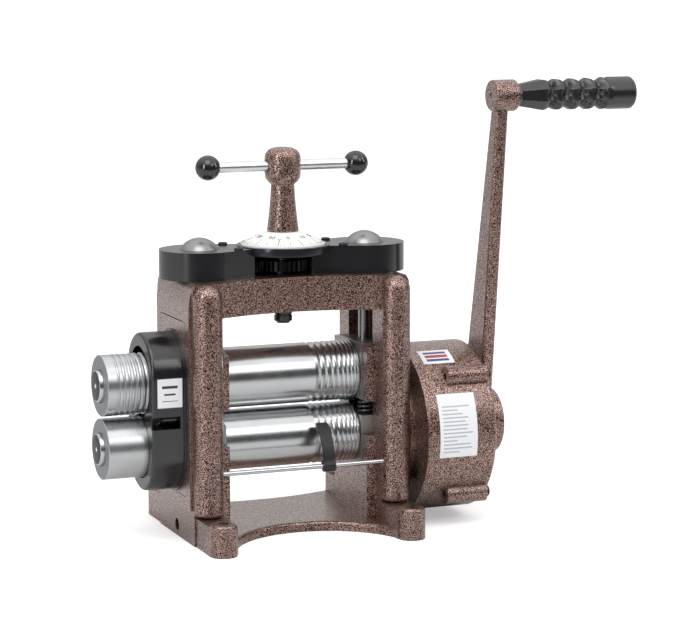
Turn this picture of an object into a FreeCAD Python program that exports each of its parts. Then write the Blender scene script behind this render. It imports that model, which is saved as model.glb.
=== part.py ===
import FreeCAD, Part
import math
import os
import Sketcher

# Jewellers rolling mill: a hand-cranked bench mill with 130 mm rolls, extension rolls at the left and a
# planetary reduction gearbox at the right. Millimetres. X runs along the rolls towards the crank, Y to the
# back and Z up. The origin is the centre of the four foot bolt holes, on the plane that the feet stand on.

SIZES = [
    # frame casting
    ("foot_y", 89.2, "half the spacing of the foot holes front to back"),
    ("foot_radius", 12.3, "outer radius of a foot boss"),
    ("foot_rise", 29.0, "height of a foot boss"),
    ("foot_round", 3.5, "rounding of a foot boss's top edge"),
    ("foot_bore", 4.5, "radius of a foot bolt hole"),
    ("rail_rise", 26.0, "height of the rail between the feet of one side"),
    ("rail_thick", 25.7, "thickness of that rail"),
    ("base_thick", 9.0, "thickness of the base plate"),
    ("base_round", 3.0, "rounding of the base plate's curved edges"),
    ("base_front_mid", 31.0, "depth of the base plate in front of the middle"),
    ("base_front_end", 82.0, "depth of the base plate in front at its ends"),
    ("base_rear_mid", 75.0, "depth of the base plate behind the middle"),
    ("base_rear_end", 89.0, "depth of the base plate behind at its ends"),
    ("wall_out", 103.0, "outer face of a side wall"),
    ("foot_inset", 13.6, "how far the foot holes are in from that face"),
    ("bar_tall", 31.5, "height of the crossbar"),
    ("column_radius", 13.5, "radius of the round wall edges"),
    ("column_y", 50.0, "centre of the round wall edges, front to back"),
    ("column_gap", 1.0, "underside of the round wall edges above the rail"),
    ("column_round", 4.0, "rounding of that underside"),
    ("bar_over_window", 3.0, "how far the crossbar's underside is over the bearing windows"),
    ("bar_mid", 32.0, "half depth of the crossbar in the middle"),
    ("bar_end", 48.0, "half depth of the crossbar at the walls"),
    ("pad_rise", 2.5, "how far the machined pad stands out of a wall"),
    ("pad_half", 46.0, "half depth of the pad"),
    ("pad_below_plate", 10.6, "how far the pad reaches below a window plate"),
    ("rib_proud", 10.0, "how far the bearing housing stands into the frame"),
    ("rib_half", 40.0, "half depth of the bearing housing"),
    ("rib_gap_over", 1.5, "underside of the cut-out in the housing's jambs above the lower roll's axis"),
    ("rib_over_roll", 26.3, "how far the bearing housing reaches above the upper roll's axis"),
    ("window_half", 29.0, "half depth of a bearing window"),
    ("window_drop", 27.5, "how far the bearing windows reach below the lower roll's axis"),
    ("window_over_block", 30.0, "room for an upper block and its screw above it"),
    ("side_hole_rise", 10.0, "height of the hole in a wall's foot"),
    ("side_hole_radius", 5.5, "radius of that hole"),
    ("side_hole_depth", 16.0, "depth of that hole"),
    # window plates
    ("plate_half", 36.6, "half depth of a window plate"),
    ("plate_drop", 14.4, "how far a window plate reaches below its window"),
    ("plate_short", 0.8, "how far a window plate ends below its window's top"),
    ("plate_thick", 3.0, "thickness of a window plate"),
    ("plate_round", 5.0, "corner radius of a window plate"),
    ("plate_gap", 0.4, "joint line round a window plate"),
    # rolls
    ("lower_axis", 84.5, "height of the lower roll's axis"),
    ("roll_radius", 27.5, "radius of both rolls"),
    ("roll_half", 65.0, "half the working width of the rolls"),
    ("roll_gap", 2.2, "gap between the rolls at rest"),
    ("roll_chamfer", 0.8, "chamfer of the roll ends"),
    ("journal_radius", 13.0, "radius of the roll journals"),
    ("groove_end", 2.35, "plain length between the narrowest wire groove and the roll's end"),
    ("groove_pitch", 6.5, "spacing of the first two wire grooves"),
    ("groove_step", 0.5, "how much each next spacing is smaller"),
    ("groove_land", 1.2, "flat between two wire grooves"),
    ("groove_count", 9, "wire grooves on a roll"),
    ("ext_gap", 2.0, "gap between the gear cover's floor and an extension roll"),
    ("ext_width", 43.0, "width of the extension rolls"),
    ("ext_bore", 11.0, "radius of the shaft in the extension rolls"),
    ("ext_groove_inset", 32.6, "smallest half-round groove from the inner face"),
    ("ext_groove_pitch", 5.15, "spacing of the half-round grooves"),
    ("ext_groove_small", 1.2, "radius of the smallest half-round groove"),
    ("ext_groove_step", 0.2, "how much each next half-round groove is larger"),
    ("ext_groove_count", 6, "half-round grooves on the upper extension roll"),
    ("cap_radius", 14.5, "radius of an end cap"),
    ("cap_proud", 5.0, "how far an end cap stands out of its roll"),
    ("cap_sink", 2.0, "depth of the seat of an end cap"),
    ("cap_dimple", 2.6, "radius of the centre dimple of an end cap"),
    ("cap_round", 1.2, "rounding of an end cap's edge"),
    # bearing blocks
    ("block_gap", 0.3, "gap of a bearing block to what it faces"),
    ("block_low_rise", 18.5, "top of a lower block above its axis"),
    ("block_high_drop", 23.7, "underside of an upper block below its axis"),
    ("block_high_rise", 28.3, "top of an upper block above its axis"),
    ("bush_wall", 2.8, "wall of a bearing bush"),
    ("running", 0.05, "radial clearance of a shaft in its bush"),
    ("spring_clear", 0.2, "gap between the springs and the blocks' sides"),
    ("spring_radius", 6.2, "coil radius of a spring"),
    ("spring_wire", 1.3, "radius of the spring wire"),
    ("spring_turns", 3.2, "turns of a spring"),
    # long-tooth gears and their cover
    ("sync_teeth", 12, "teeth of a long-tooth gear"),
    ("sync_addendum", 3.3, "height of a long tooth above the pitch circle"),
    ("sync_dedendum", 5.8, "depth of a long tooth below the pitch circle"),
    ("sync_tooth", 6.35, "tooth width of a long-tooth gear at the pitch circle"),
    ("sync_pressure", 25.0, "pressure angle of the long-tooth gears"),
    ("sync_width", 16.5, "width of a long-tooth gear"),
    ("sync_gap", 3.5, "gap between the window plate and the long-tooth gears"),
    ("cover_clear", 0.5, "gap between the long-tooth gears and the gear cover's floor"),
    ("cover_room", 2.1, "gap between the long teeth and the gear cover"),
    ("cover_low", 2.0, "how far the cover's lower round end is below the lower roll's axis"),
    ("cover_high", 7.6, "how far the cover's upper round end is above the upper roll's axis"),
    ("cover_wall", 4.0, "wall of the gear cover"),
    ("cover_web", 3.0, "floor between the gears and the extension rolls"),
    ("cover_recess", 8.0, "depth of the recess round the extension rolls"),
    ("cover_lip", 1.8, "width of the lip against the window plate"),
    ("cover_lip_thick", 2.5, "thickness of that lip"),
    ("slot_drop", 7.8, "how far the wire slot reaches below the middle of the rolls' gap"),
    ("slot_rise", 3.3, "how far the wire slot reaches above that middle"),
    ("slot_end", 5.5, "closed end of the wire slot from the pad"),
    ("shaft_hole_gap", 1.0, "gap of a shaft in a plate or cover"),
    ("travel_down", 2.1, "travel of the upper roll down from rest"),
    ("travel_up", 5.0, "travel of the upper roll up from rest"),
    ("cover_screw_y", 27.0, "distance of the cover screws from the roll axes"),
    ("cover_screw_radius", 2.0, "radius of a cover screw"),
    ("cover_screw_head", 3.4, "radius of a cover screw's head"),
    ("cover_post", 4.4, "radius of a screw post in the gear cover"),
    ("sticker_thick", 0.3, "thickness of a sticker"),
    ("sticker_gap", 0.1, "clearance of a sticker over a curved face"),
    ("cover_sticker_inset", 4.2, "left edge of the gear cover's sticker from the cover's open face"),
    ("cover_sticker_width", 24.0, "width of that sticker"),
    ("cover_sticker_drop", 17.5, "underside of that sticker below the upper roll's axis"),
    ("cover_sticker_tall", 27.2, "height of that sticker"),
    # adjusting gear
    ("screw_x", 79.6, "distance of the adjusting screws from the middle"),
    ("screw_radius", 12.0, "radius of the adjusting screws"),
    ("screw_set_back", 8.0, "how far the threaded length starts above the window"),
    ("screw_tip", 5.6, "radius of the plain end that bears on a block"),
    ("key_half", 2.0, "half the width of the sliding key"),
    ("key_deep", 2.0, "depth of the sliding key"),
    ("key_gap", 0.15, "clearance of the sliding key"),
    ("dome_radius", 17.7, "radius of a screw's domed head"),
    ("dome_clear", 5.0, "gap between the screw gears and the domed heads"),
    ("dome_edge", 8.0, "height of a domed head's upright edge"),
    ("dome_crown", 10.0, "height of the dome above that edge"),
    ("nut_wall", 3.5, "wall of the bronze nuts"),
    ("centre_teeth", 26, "teeth of the centre gear"),
    ("idler_teeth", 18, "teeth of an idler gear"),
    ("screw_teeth", 36, "teeth of a screw gear"),
    ("train_pressure", 20.0, "pressure angle of the adjusting gears"),
    ("train_play", 0.25, "backlash of the adjusting gears"),
    ("train_rise", 3.5, "underside of the adjusting gears' teeth above the frame"),
    ("train_width", 9.0, "width of the adjusting gears' teeth"),
    ("hub_wall", 4.0, "wall of the gear hubs"),
    ("idler_pin", 5.0, "radius of an idler pin"),
    ("idler_pin_sink", 12.0, "depth of an idler pin in the frame"),
    ("head_clear", 1.63, "gap between the screw gears and the head cover"),
    ("head_room", 13.0, "height of the head cover above the adjusting gears"),
    ("head_wall", 3.8, "wall of the head cover"),
    ("head_roof", 5.0, "thickness of the head cover's top"),
    ("middle_clear", 3.46, "gap between the centre gear and the head cover's round middle"),
    ("waist_x", 33.0, "where the head cover's waist begins"),
    ("waist_clear", 0.95, "gap between the idler gears and the head cover's waist"),
    ("taper_run", 11.6, "distance of the waist's other end from the screw axis"),
    ("taper_drop", 1.9, "how much less deep the waist's other end is than the round end"),
    ("head_screw_set", 14.26, "distance of the head screws from the idler pins along the rolls"),
    ("head_screw_y", 22.0, "distance of the head screws from the centre line"),
    ("head_screw_radius", 2.4, "radius of a head screw"),
    ("head_screw_head", 4.3, "radius of a head screw's button head"),
    ("head_screw_rise", 2.2, "height of that button head"),
    ("head_screw_round", 1.4, "rounding of that button head"),
    ("head_screw_sink", 10.0, "depth of a head screw in the frame"),
    ("head_post", 4.6, "radius of a screw post in the head cover"),
    ("ring_radius", 42.5, "outer radius of the dial ring"),
    ("ring_sink", 7.0, "how far the dial ring is let into the head cover"),
    ("ring_tall", 8.0, "height of the dial ring"),
    ("ring_rim", 3.6, "width of the dial ring's rim"),
    ("ring_floor", 3.5, "thickness of the dial ring's floor"),
    ("dial_gap", 0.5, "gap round the dial"),
    ("dial_edge", 1.4, "height of the dial's upright edge"),
    ("dial_rise", 11.5, "height of the dial cone above its ring"),
    ("dial_neck", 15.0, "radius of the top of the dial cone"),
    # T-handle
    ("spindle_radius", 6.0, "radius of the handle spindle"),
    ("spindle_short", 27.0, "how far the handle spindle ends below the cross bar"),
    ("spindle_nut_radius", 8.3, "radius of the nut under the crossbar"),
    ("spindle_nut_tall", 12.5, "height of that nut with its gap"),
    ("spindle_proud", 1.5, "how far the spindle stands out of that nut"),
    ("spindle_bush_wall", 3.0, "wall of the spindle's bush"),
    ("stem_foot_radius", 14.5, "radius of the handle stem at its foot"),
    ("stem_neck_radius", 10.6, "radius of the handle stem at its neck"),
    ("stem_rise", 42.5, "height of that neck above the dial"),
    ("stem_head_radius", 16.3, "radius of the handle's head"),
    ("stem_head_over", 16.6, "top of the handle's head above the cross bar"),
    ("stem_head_slope", 6.0, "height of the head's sloping shoulders"),
    ("stem_head_inset", 5.2, "how much narrower the head is above and below"),
    ("tbar_rise", 17.0, "height of the cross bar above the neck"),
    ("tbar_radius", 4.9, "radius of the cross bar"),
    ("tbar_half", 68.0, "half the length of the cross bar"),
    ("tball_over", 3.0, "how far a ball's middle is beyond the cross bar's end"),
    ("tball_radius", 11.3, "radius of a ball"),
    # reduction gearbox
    ("box_radius", 78.0, "outer radius of the gearbox"),
    ("flange_thick", 5.5, "thickness of the gearbox's mounting flange"),
    ("box_body_long", 50.0, "length of the gearbox body's drum"),
    ("box_cover_long", 19.0, "length of the gearbox cover"),
    ("box_round", 4.5, "rounding of the gearbox cover's rim"),
    ("box_end_wall", 6.0, "thickness of the gearbox's end walls"),
    ("flange_radius", 50.0, "radius of the gearbox's mounting flange"),
    ("flange_screw_edge", 7.0, "distance of the flange screws from the flange's edge"),
    ("flange_screw_angle", 15.0, "angle of the flange screws from the horizontal"),
    ("flange_screw_radius", 3.0, "radius of a flange screw"),
    ("flange_screw_head", 5.0, "radius of a flange screw's sunk head"),
    ("flange_head_deep", 3.0, "depth of that head"),
    ("flange_screw_sink", 14.0, "depth of a flange screw in the frame"),
    ("lug_proud", 1.0, "how far the lugs' middle is outside the drum"),
    ("lug_angle", 44.0, "angle of the lugs from the horizontal"),
    ("lug_radius", 9.0, "radius of a lug"),
    ("lug_before_seam", 25.0, "length of a lug on the gearbox body"),
    ("lug_short", 4.0, "how far the lugs end before the cover's face"),
    ("lug_bore", 3.2, "radius of the screw hole in a lug"),
    ("lug_screw_head", 5.0, "radius of a lug screw's head"),
    ("lug_screw_rise", 4.0, "height of that head"),
    ("ring_teeth", 54, "teeth of the ring gear"),
    ("sun_teeth", 18, "teeth of the sun gear"),
    ("planet_pressure", 20.0, "pressure angle of the planetary gears"),
    ("planet_play", 0.35, "backlash of the planetary gears"),
    ("box_wall", 5.0, "wall of the gearbox round the ring gear"),
    ("ring_gear_rim", 2.375, "rim of the ring gear outside its teeth"),
    ("ring_gear_width", 20.0, "width of the ring gear"),
    ("carrier_clear", 1.4, "gap between the gearbox's end wall and the carrier"),
    ("planet_width", 17.0, "width of the planet gears"),
    ("planet_pin", 6.0, "radius of a planet pin"),
    ("planet_gap", 0.6, "gap between a planet gear and the carrier"),
    ("carrier_edge", 9.0, "rim of the planet carrier outside its pins"),
    ("carrier_thick", 8.0, "thickness of the planet carrier"),
    ("carrier_square", 9.0, "half the square on the roll's end in the carrier"),
    ("crank_shaft", 10.0, "radius of the crank shaft"),
    ("crank_bush_wall", 4.0, "wall of the crank shaft's bush"),
    ("crank_boss", 22.0, "radius of the boss round that bush"),
    ("box_sticker_inset", 11.5, "left edge of the gearbox plate sticker from the drum's left face"),
    ("box_sticker_width", 37.0, "width of the gearbox plate sticker"),
    ("box_sticker_rise", 40.5, "top of the gearbox plate sticker above the axis"),
    ("box_sticker_drop", 16.5, "underside of the gearbox plate sticker below the axis"),
    ("flag_sticker_inset", 10.0, "left edge of the upper gearbox sticker from the drum's left face"),
    ("flag_sticker_width", 31.0, "width of the upper gearbox sticker"),
    ("flag_sticker_back", -25.5, "rear edge of the upper gearbox sticker"),
    ("flag_sticker_front", -43.8, "front edge of the upper gearbox sticker"),
    # crank
    ("hub_gap", 3.5, "gap between the gearbox cover and the crank hub"),
    ("hub_width", 26.5, "width of the crank hub"),
    ("hub_radius", 31.0, "radius of the crank hub"),
    ("hub_round", 3.0, "rounding of the crank hub's edges"),
    ("crank_nut_radius", 13.0, "radius of the nut on the crank shaft"),
    ("crank_nut_thick", 3.5, "thickness of that nut"),
    ("crank_length", 312.8, "distance from the crank shaft to the grip"),
    ("crank_lean", 9.2, "lean of the crank to the front at rest, in degrees"),
    ("arm_inset", 3.5, "how far the crank arm is set in from the hub's left face"),
    ("arm_thick", 12.0, "thickness of the crank arm"),
    ("arm_foot_half", 22.0, "half width of the crank arm at the shaft"),
    ("arm_top_half", 6.5, "half width of the crank arm at the grip"),
    ("arm_round", 3.5, "rounding of the crank arm's edges"),
    ("eye_proud", 4.0, "how far the grip's boss stands out of the arm to the left"),
    ("eye_width", 24.0, "width of the boss that holds the grip"),
    ("eye_radius", 14.5, "radius of that boss"),
    ("eye_round", 2.5, "rounding of that boss's edges"),
    ("collar_radius", 10.6, "radius of the collar between boss and grip"),
    ("collar_thick", 3.0, "thickness of that collar"),
    ("grip_gap", 0.4, "gap between the collar and the grip"),
    ("grip_pin", 5.0, "radius of the grip's spindle"),
    ("grip_length", 115.0, "length of the grip"),
    ("grip_start", 10.8, "radius of the grip beside the collar"),
    ("grip_swell", 15.0, "radius of the grip's thick part"),
    ("grip_waist", 13.2, "radius between the finger swells"),
    ("grip_cone", 24.0, "length of the grip's cone"),
    ("grip_pitch", 15.5, "spacing of the finger swells"),
    ("grip_swells", 4, "number of finger swells"),
    ("grip_chamfer", 3.0, "chamfer of the grip's end"),
    ("grip_end_wall", 4.0, "closed end of the grip"),
    # wire guide
    ("rod_set", 2.0, "how far the guide rod is in front of the round wall edges' middle"),
    ("rod_drop", 20.1, "how far the guide rod is below the lower roll's axis"),
    ("rod_radius", 2.25, "radius of the guide rod"),
    ("rod_sink", 6.0, "depth of the guide rod in each column"),
    ("guide_half", 5.5, "half width of the wire guide"),
    ("guide_loop", 5.4, "outer radius of the wire guide's loop"),
    ("guide_thick", 2.6, "thickness of the wire guide's blade"),
    ("guide_reach", 19.4, "reach of the blade towards the rolls"),
    ("guide_rise", 36.0, "rise of the blade above the rod"),
]

AXES = {
    "X": FreeCAD.Rotation(FreeCAD.Vector(0, 1, 0), FreeCAD.Vector(0, 0, 1), FreeCAD.Vector(1, 0, 0), "ZXY"),
    "Y": FreeCAD.Rotation(FreeCAD.Vector(0, 0, 1), FreeCAD.Vector(1, 0, 0), FreeCAD.Vector(0, 1, 0), "ZXY"),
    "Z": FreeCAD.Rotation(),
}
# A turned body's profile runs along its own X axis; this lays that axis along the world's X, Y or Z.
TURNS = {
    "X": FreeCAD.Rotation(),
    "Z": FreeCAD.Rotation(FreeCAD.Vector(0, 1, 0), -90),
}
SHEET = "Sizes"
SEAM = 0.5      # how far two forms of one casting run into each other
DIP = "dip"     # marks the corner of an outline where a half-round groove starts
SPANS_PER_TURN = 10     # straight spans in a turn of a coil spring
MITRED = 1      # how a pipe shell turns a corner
DEDENDUM = 1.25     # depth of a gear tooth below its pitch circle, in modules


class Size:
    """A length that keeps the formula it comes from, so that the document stays bound to the sheet."""

    def __init__(self, value, formula):
        self.value = value
        self.formula = formula

    def join(self, other, sign, value):
        return Size(value, f"({self.formula} {sign} {size(other).formula})")

    def __add__(self, other):
        return self.join(other, "+", self.value + size(other).value)

    def __sub__(self, other):
        return self.join(other, "-", self.value - size(other).value)

    def __mul__(self, other):
        return self.join(other, "*", self.value * size(other).value)

    def __truediv__(self, other):
        return self.join(other, "/", self.value / size(other).value)

    def __radd__(self, other):
        return size(other) + self

    def __rsub__(self, other):
        return size(other) - self

    def __rmul__(self, other):
        return size(other) * self

    def __neg__(self):
        return size(0) - self

    def __float__(self):
        return float(self.value)

    def __int__(self):
        return round(self.value)


def size(value):
    return value if isinstance(value, Size) else Size(value, repr(value))


class Sheet:
    """The spreadsheet of driving sizes; each alias is an attribute."""

    def __init__(self, doc):
        self.cells = doc.addObject("Spreadsheet::Sheet", SHEET)
        for row, (alias, value, meaning) in enumerate(SIZES, start=1):
            self.cells.set(f"A{row}", alias)
            self.cells.set(f"B{row}", str(value))
            self.cells.set(f"C{row}", meaning)
            self.cells.setAlias(f"B{row}", alias)
        doc.recompute()
        for alias, _, _ in SIZES:
            setattr(self, alias, Size(float(self.cells.get(alias)), f"{SHEET}.{alias}"))


doc = FreeCAD.newDocument("rolling_mill")
d = Sheet(doc)
parts = []

# sizes that follow from the driving ones: the rolls and what holds them
upper_axis = d.lower_axis + 2 * d.roll_radius + d.roll_gap
slot_middle = (d.lower_axis + upper_axis) / 2
block_low_top = d.lower_axis + d.block_low_rise
block_high_foot = upper_axis - d.block_high_drop
block_high_top = upper_axis + d.block_high_rise
window_foot = d.lower_axis - d.window_drop
window_top = block_high_top + d.window_over_block
rib_top = upper_axis + d.rib_over_roll
plate_foot = window_foot - d.plate_drop
pad_foot = plate_foot - d.pad_below_plate
rib_gap_foot = d.lower_axis + d.rib_gap_over
plate_top = window_top - d.plate_short
bar_foot = window_top + d.bar_over_window
wall_top = bar_foot + d.bar_tall
wall_in = d.wall_out - 2 * d.column_radius
column_x = d.wall_out - d.column_radius
column_foot = d.rail_rise + d.column_gap
foot_x = d.wall_out - d.foot_inset
pad_face = d.wall_out + d.pad_rise
plate_back = pad_face - d.plate_thick
rib_in = wall_in - d.rib_proud
block_in = d.roll_half + d.block_gap
block_out = plate_back - d.block_gap
bush_radius = d.journal_radius + d.running + d.bush_wall
spring_reach = d.spring_radius + d.spring_wire
spring_x = d.roll_half + spring_reach
spring_y = d.window_half - d.block_gap - spring_reach - d.spring_clear
groove_pitches = [d.groove_pitch - n * d.groove_step for n in range(int(d.groove_count))]
groove_halves = [(pitch - d.groove_land) / 2 for pitch in groove_pitches]
groove_middle = d.roll_half - d.groove_end - groove_halves[-1] - sum(groove_pitches[:-1])
rod_y = -d.column_y - d.rod_set
rod_rise = d.lower_axis - d.rod_drop
# the gear cover and the extension rolls
sync_right = pad_face + d.sync_gap
sync_pitch = (upper_axis - d.lower_axis) / 2
sync_tip = sync_pitch + d.sync_addendum
cover_floor = sync_right + d.sync_width + d.cover_clear + d.cover_web
cover_left = cover_floor + d.cover_recess
cover_half = sync_tip + d.cover_room + d.cover_wall
cover_foot = d.lower_axis - d.cover_low - cover_half
cover_top = upper_axis + d.cover_high + cover_half
slot_right = pad_face + d.slot_end
cover_sticker_left = cover_left - d.cover_sticker_inset
slot_foot = slot_middle - d.slot_drop
slot_top = slot_middle + d.slot_rise
ext_left = cover_floor + d.ext_gap + d.ext_width
# the adjusting gears, the head and the handle
train_module = d.screw_x / ((d.centre_teeth + d.screw_teeth) / 2 + d.idler_teeth)
idler_x = train_module * (d.centre_teeth + d.idler_teeth) / 2
head_screw_x = idler_x + d.head_screw_set
head_lobe = train_module * (d.screw_teeth / 2 + 1) + d.head_clear + d.head_wall
head_middle = train_module * (d.centre_teeth / 2 + 1) + d.middle_clear + d.head_wall
waist_y = train_module * (d.idler_teeth / 2 + 1) + d.waist_clear + d.head_wall
train_foot = wall_top + d.train_rise
train_top = train_foot + d.train_width
nut_radius = d.screw_radius + d.nut_wall
screw_foot = window_top + d.screw_set_back
dome_foot = train_top + d.dome_clear
dome_rim = dome_foot + d.dome_edge
dome_top = dome_rim + d.dome_crown
head_top = train_top + d.head_room
ring_foot = head_top - d.ring_sink
ring_top = ring_foot + d.ring_tall
dial_top = ring_top + d.dial_rise
stem_neck = dial_top + d.stem_rise
tbar_axis = stem_neck + d.tbar_rise
stem_head_top = tbar_axis + d.stem_head_over
spindle_bush = d.spindle_radius + d.running + d.spindle_bush_wall
spindle_top = tbar_axis - d.spindle_short
spindle_nut_foot = bar_foot - d.spindle_nut_tall
spindle_end = spindle_nut_foot - d.spindle_proud
# the gearbox and the crank
box_left = pad_face + d.flange_thick
box_seam = box_left + d.box_body_long
box_right = box_seam + d.box_cover_long
lug_left = box_seam - d.lug_before_seam
lug_right = box_right - d.lug_short
lug_pitch = d.box_radius + d.lug_proud
flange_screw_pitch = d.flange_radius - d.flange_screw_edge
ring_gear_radius = d.box_radius - d.box_wall
planet_module = (ring_gear_radius - d.ring_gear_rim) / (d.ring_teeth / 2 + DEDENDUM)
planet_teeth = (d.ring_teeth - d.sun_teeth) / 2
planet_pitch = planet_module * (d.sun_teeth + planet_teeth) / 2
carrier_radius = planet_pitch + d.planet_pin + d.carrier_edge
planet_left = box_left + d.box_end_wall + d.carrier_clear + d.carrier_thick + d.planet_gap
planet_right = planet_left + d.planet_width
carrier_right = planet_left - d.planet_gap
hub_left = box_right + d.hub_gap
hub_right = hub_left + d.hub_width
arm_left = hub_left + d.arm_inset
eye_left = arm_left - d.eye_proud
eye_right = eye_left + d.eye_width
grip_left = eye_right + d.collar_thick + d.grip_gap


# ---- modelling helpers --------------------------------------------------------------------------------

def bind(obj, **formulas):
    for name, value in formulas.items():
        obj.setExpression(name, size(value).formula)


def place(obj, x, y, z):
    for axis, value in zip("xyz", (x, y, z)):
        obj.setExpression(f"Placement.Base.{axis}", size(value).formula)


def finish(obj, name):
    """Give the finished sub-part its name and list it for writing."""
    obj.Label = name
    parts.append(obj)
    return obj


def ordered(span):
    return sorted(map(size, span), key=float)


def box(name, x, y, z):
    """A block between two values on each axis."""
    (x0, x1), (y0, y1), (z0, z1) = ordered(x), ordered(y), ordered(z)
    obj = doc.addObject("Part::Box", name)
    bind(obj, Length=x1 - x0, Width=y1 - y0, Height=z1 - z0)
    place(obj, x0, y0, z0)
    return obj


def rod(name, radius, span, centre, along="X"):
    """A cylinder along one axis, over a span, with its centre on the two other axes."""
    low, high = ordered(span)
    obj = doc.addObject("Part::Cylinder", name)
    obj.Placement = FreeCAD.Placement(FreeCAD.Vector(), AXES[along])
    bind(obj, Radius=radius, Height=high - low)
    first, second = centre
    spots = {"X": (low, first, second), "Y": (first, low, second), "Z": (first, second, low)}
    place(obj, *spots[along])
    return obj


def ball(name, radius, x, y, z):
    obj = doc.addObject("Part::Sphere", name)
    bind(obj, Radius=radius)
    place(obj, x, y, z)
    return obj


def fuse(name, *shapes):
    obj = doc.addObject("Part::MultiFuse", name)
    obj.Shapes = list(shapes)
    obj.Refine = True
    return obj


def cut(name, base, *tools):
    obj = doc.addObject("Part::Cut", name)
    obj.Base = base
    obj.Tool = tools[0] if len(tools) == 1 else fuse(name + "_tools", *tools)
    obj.Refine = True
    return obj


def rounded(name, base, radius, picks):
    """Round the edges of base whose middle and curve picks(edge, middle) accepts."""
    doc.recompute()
    obj = doc.addObject("Part::Fillet", name)
    obj.Base = base
    edges = base.Shape.Edges
    chosen = [n for n, edge in enumerate(edges, start=1) if picks(edge, edge.BoundBox.Center)]
    obj.Edges = [(n, float(radius), float(radius)) for n in chosen]
    return obj


def near(value, target):
    return abs(value - float(target)) < 0.01


def is_circle(edge):
    return isinstance(edge.Curve, Part.Circle)


def half_round(start, end):
    """The lower half circle between two points of equal height."""
    middle = (start + end) / 2
    circle = Part.Circle(middle, FreeCAD.Vector(0, 0, 1), (end.x - start.x) / 2)
    return Part.ArcOfCircle(circle, math.pi, 2 * math.pi)


def outline(sketch, points):
    """A closed outline, each corner bound to its two sizes; one marked with DIP starts a half round."""
    corners = [(size(point[0]), size(point[1])) for point in points]
    dips = [n for n, point in enumerate(points) if DIP in point[2:]]
    spots = [FreeCAD.Vector(float(a), float(b)) for a, b in corners]
    count = len(spots)

    def bind_point(kind, n, which, value):
        index = sketch.addConstraint(Sketcher.Constraint(kind, -1, 1, n, which, float(value)))
        sketch.setExpression(f"Constraints[{index}]", value.formula)

    for n in range(count):
        ends = spots[n], spots[(n + 1) % count]
        sketch.addGeometry(half_round(*ends) if n in dips else Part.LineSegment(*ends), False)
    for n in range(count):
        sketch.addConstraint(Sketcher.Constraint("Coincident", n, 2, (n + 1) % count, 1))
    for n, (a, b) in enumerate(corners):
        bind_point("DistanceX", n, 1, a)
        bind_point("DistanceY", n, 1, b)
        if n in dips:
            bind_point("DistanceY", n, 3, b)


def sketched_body(name, points):
    body = doc.addObject("PartDesign::Body", name)
    sketch = body.newObject("Sketcher::SketchObject", name + "_profile")
    plane = next(f for f in body.Origin.OriginFeatures if f.Role == "XY_Plane")
    sketch.AttachmentSupport = (plane, [""])
    sketch.MapMode = "FlatFace"
    outline(sketch, points)
    return body, sketch


def turned(name, stations, at, along="X"):
    """A turned body: stations are (distance along the axis, radius) from the starting point."""
    body, sketch = sketched_body(name, stations)
    turn = body.newObject("PartDesign::Revolution", name + "_turn")
    turn.Profile = sketch
    turn.ReferenceAxis = (sketch, ["H_Axis"])
    turn.Angle = 360
    body.Placement = FreeCAD.Placement(FreeCAD.Vector(), TURNS[along])
    place(body, *at)
    return body


def plate(name, points, span):
    """A body of constant height over an outline in X and Y."""
    body, sketch = sketched_body(name, points)
    low, high = ordered(span)
    pad = body.newObject("PartDesign::Pad", name + "_pad")
    pad.Profile = sketch
    bind(pad, Length=high - low)
    place(body, 0, 0, low)
    return body


def obround(name, half, x, z):
    """A block with round top and bottom, seen along X: half is its half depth in Y."""
    low, high = ordered(z)
    return fuse(name,
                rod(name + "_low", half, x, (0, low + half)),
                rod(name + "_high", half, x, (0, high - half)),
                box(name + "_mid", x, (-half, half), (low + half, high - half)))


def feature(name, shape, at=(0, 0, 0), along="Z"):
    """A shape made directly, with its placement set after it and bound to the sheet."""
    obj = doc.addObject("Part::Feature", name)
    obj.Shape = shape
    obj.Placement = FreeCAD.Placement(FreeCAD.Vector(), AXES[along])
    place(obj, *at)
    return obj


def polar(radius, angle):
    return FreeCAD.Vector(radius * math.cos(angle), radius * math.sin(angle), 0)


def involute(angle):
    return math.tan(angle) - angle


def gear_face(teeth, pitch, tip, root, tooth, pressure, phase=0.0):
    """The outline of an involute gear in the XY plane, with a tooth at the phase angle."""
    teeth, pitch, tip, root, tooth = int(teeth), float(pitch), float(tip), float(root), float(tooth)
    pressure = math.radians(float(pressure))
    base = pitch * math.cos(pressure)
    start = max(base, root)

    def half_angle(radius):
        lean = math.acos(base / max(radius, base))
        return tooth / pitch / 2 + involute(pressure) - involute(lean)

    radii = (start, (start + tip) / 2, tip)
    step = 2 * math.pi / teeth
    edges = []
    for n in range(teeth):
        middle = phase + n * step
        rising = [polar(r, middle - half_angle(r)) for r in radii]
        falling = [polar(r, middle + half_angle(r)) for r in reversed(radii)]
        foot = [polar(root, middle - half_angle(start)), polar(root, middle + half_angle(start))]
        following = polar(root, middle + step - half_angle(start))
        if start > root:
            edges.append(Part.LineSegment(foot[0], rising[0]).toShape())
        edges.append(Part.Arc(*rising).toShape())
        edges.append(Part.Arc(rising[-1], polar(tip, middle), falling[0]).toShape())
        edges.append(Part.Arc(*falling).toShape())
        if start > root:
            edges.append(Part.LineSegment(falling[-1], foot[1]).toShape())
        edges.append(Part.Arc(foot[1], polar(root, middle + step / 2), following).toShape())
    return Part.Face(Part.Wire(edges))


def prism(face, width):
    return face.extrude(FreeCAD.Vector(0, 0, float(width)))


def disc(radius, width, foot=0.0):
    return Part.makeCylinder(float(radius), float(width), FreeCAD.Vector(0, 0, float(foot)))


# ---- frame casting ------------------------------------------------------------------------------------

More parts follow.
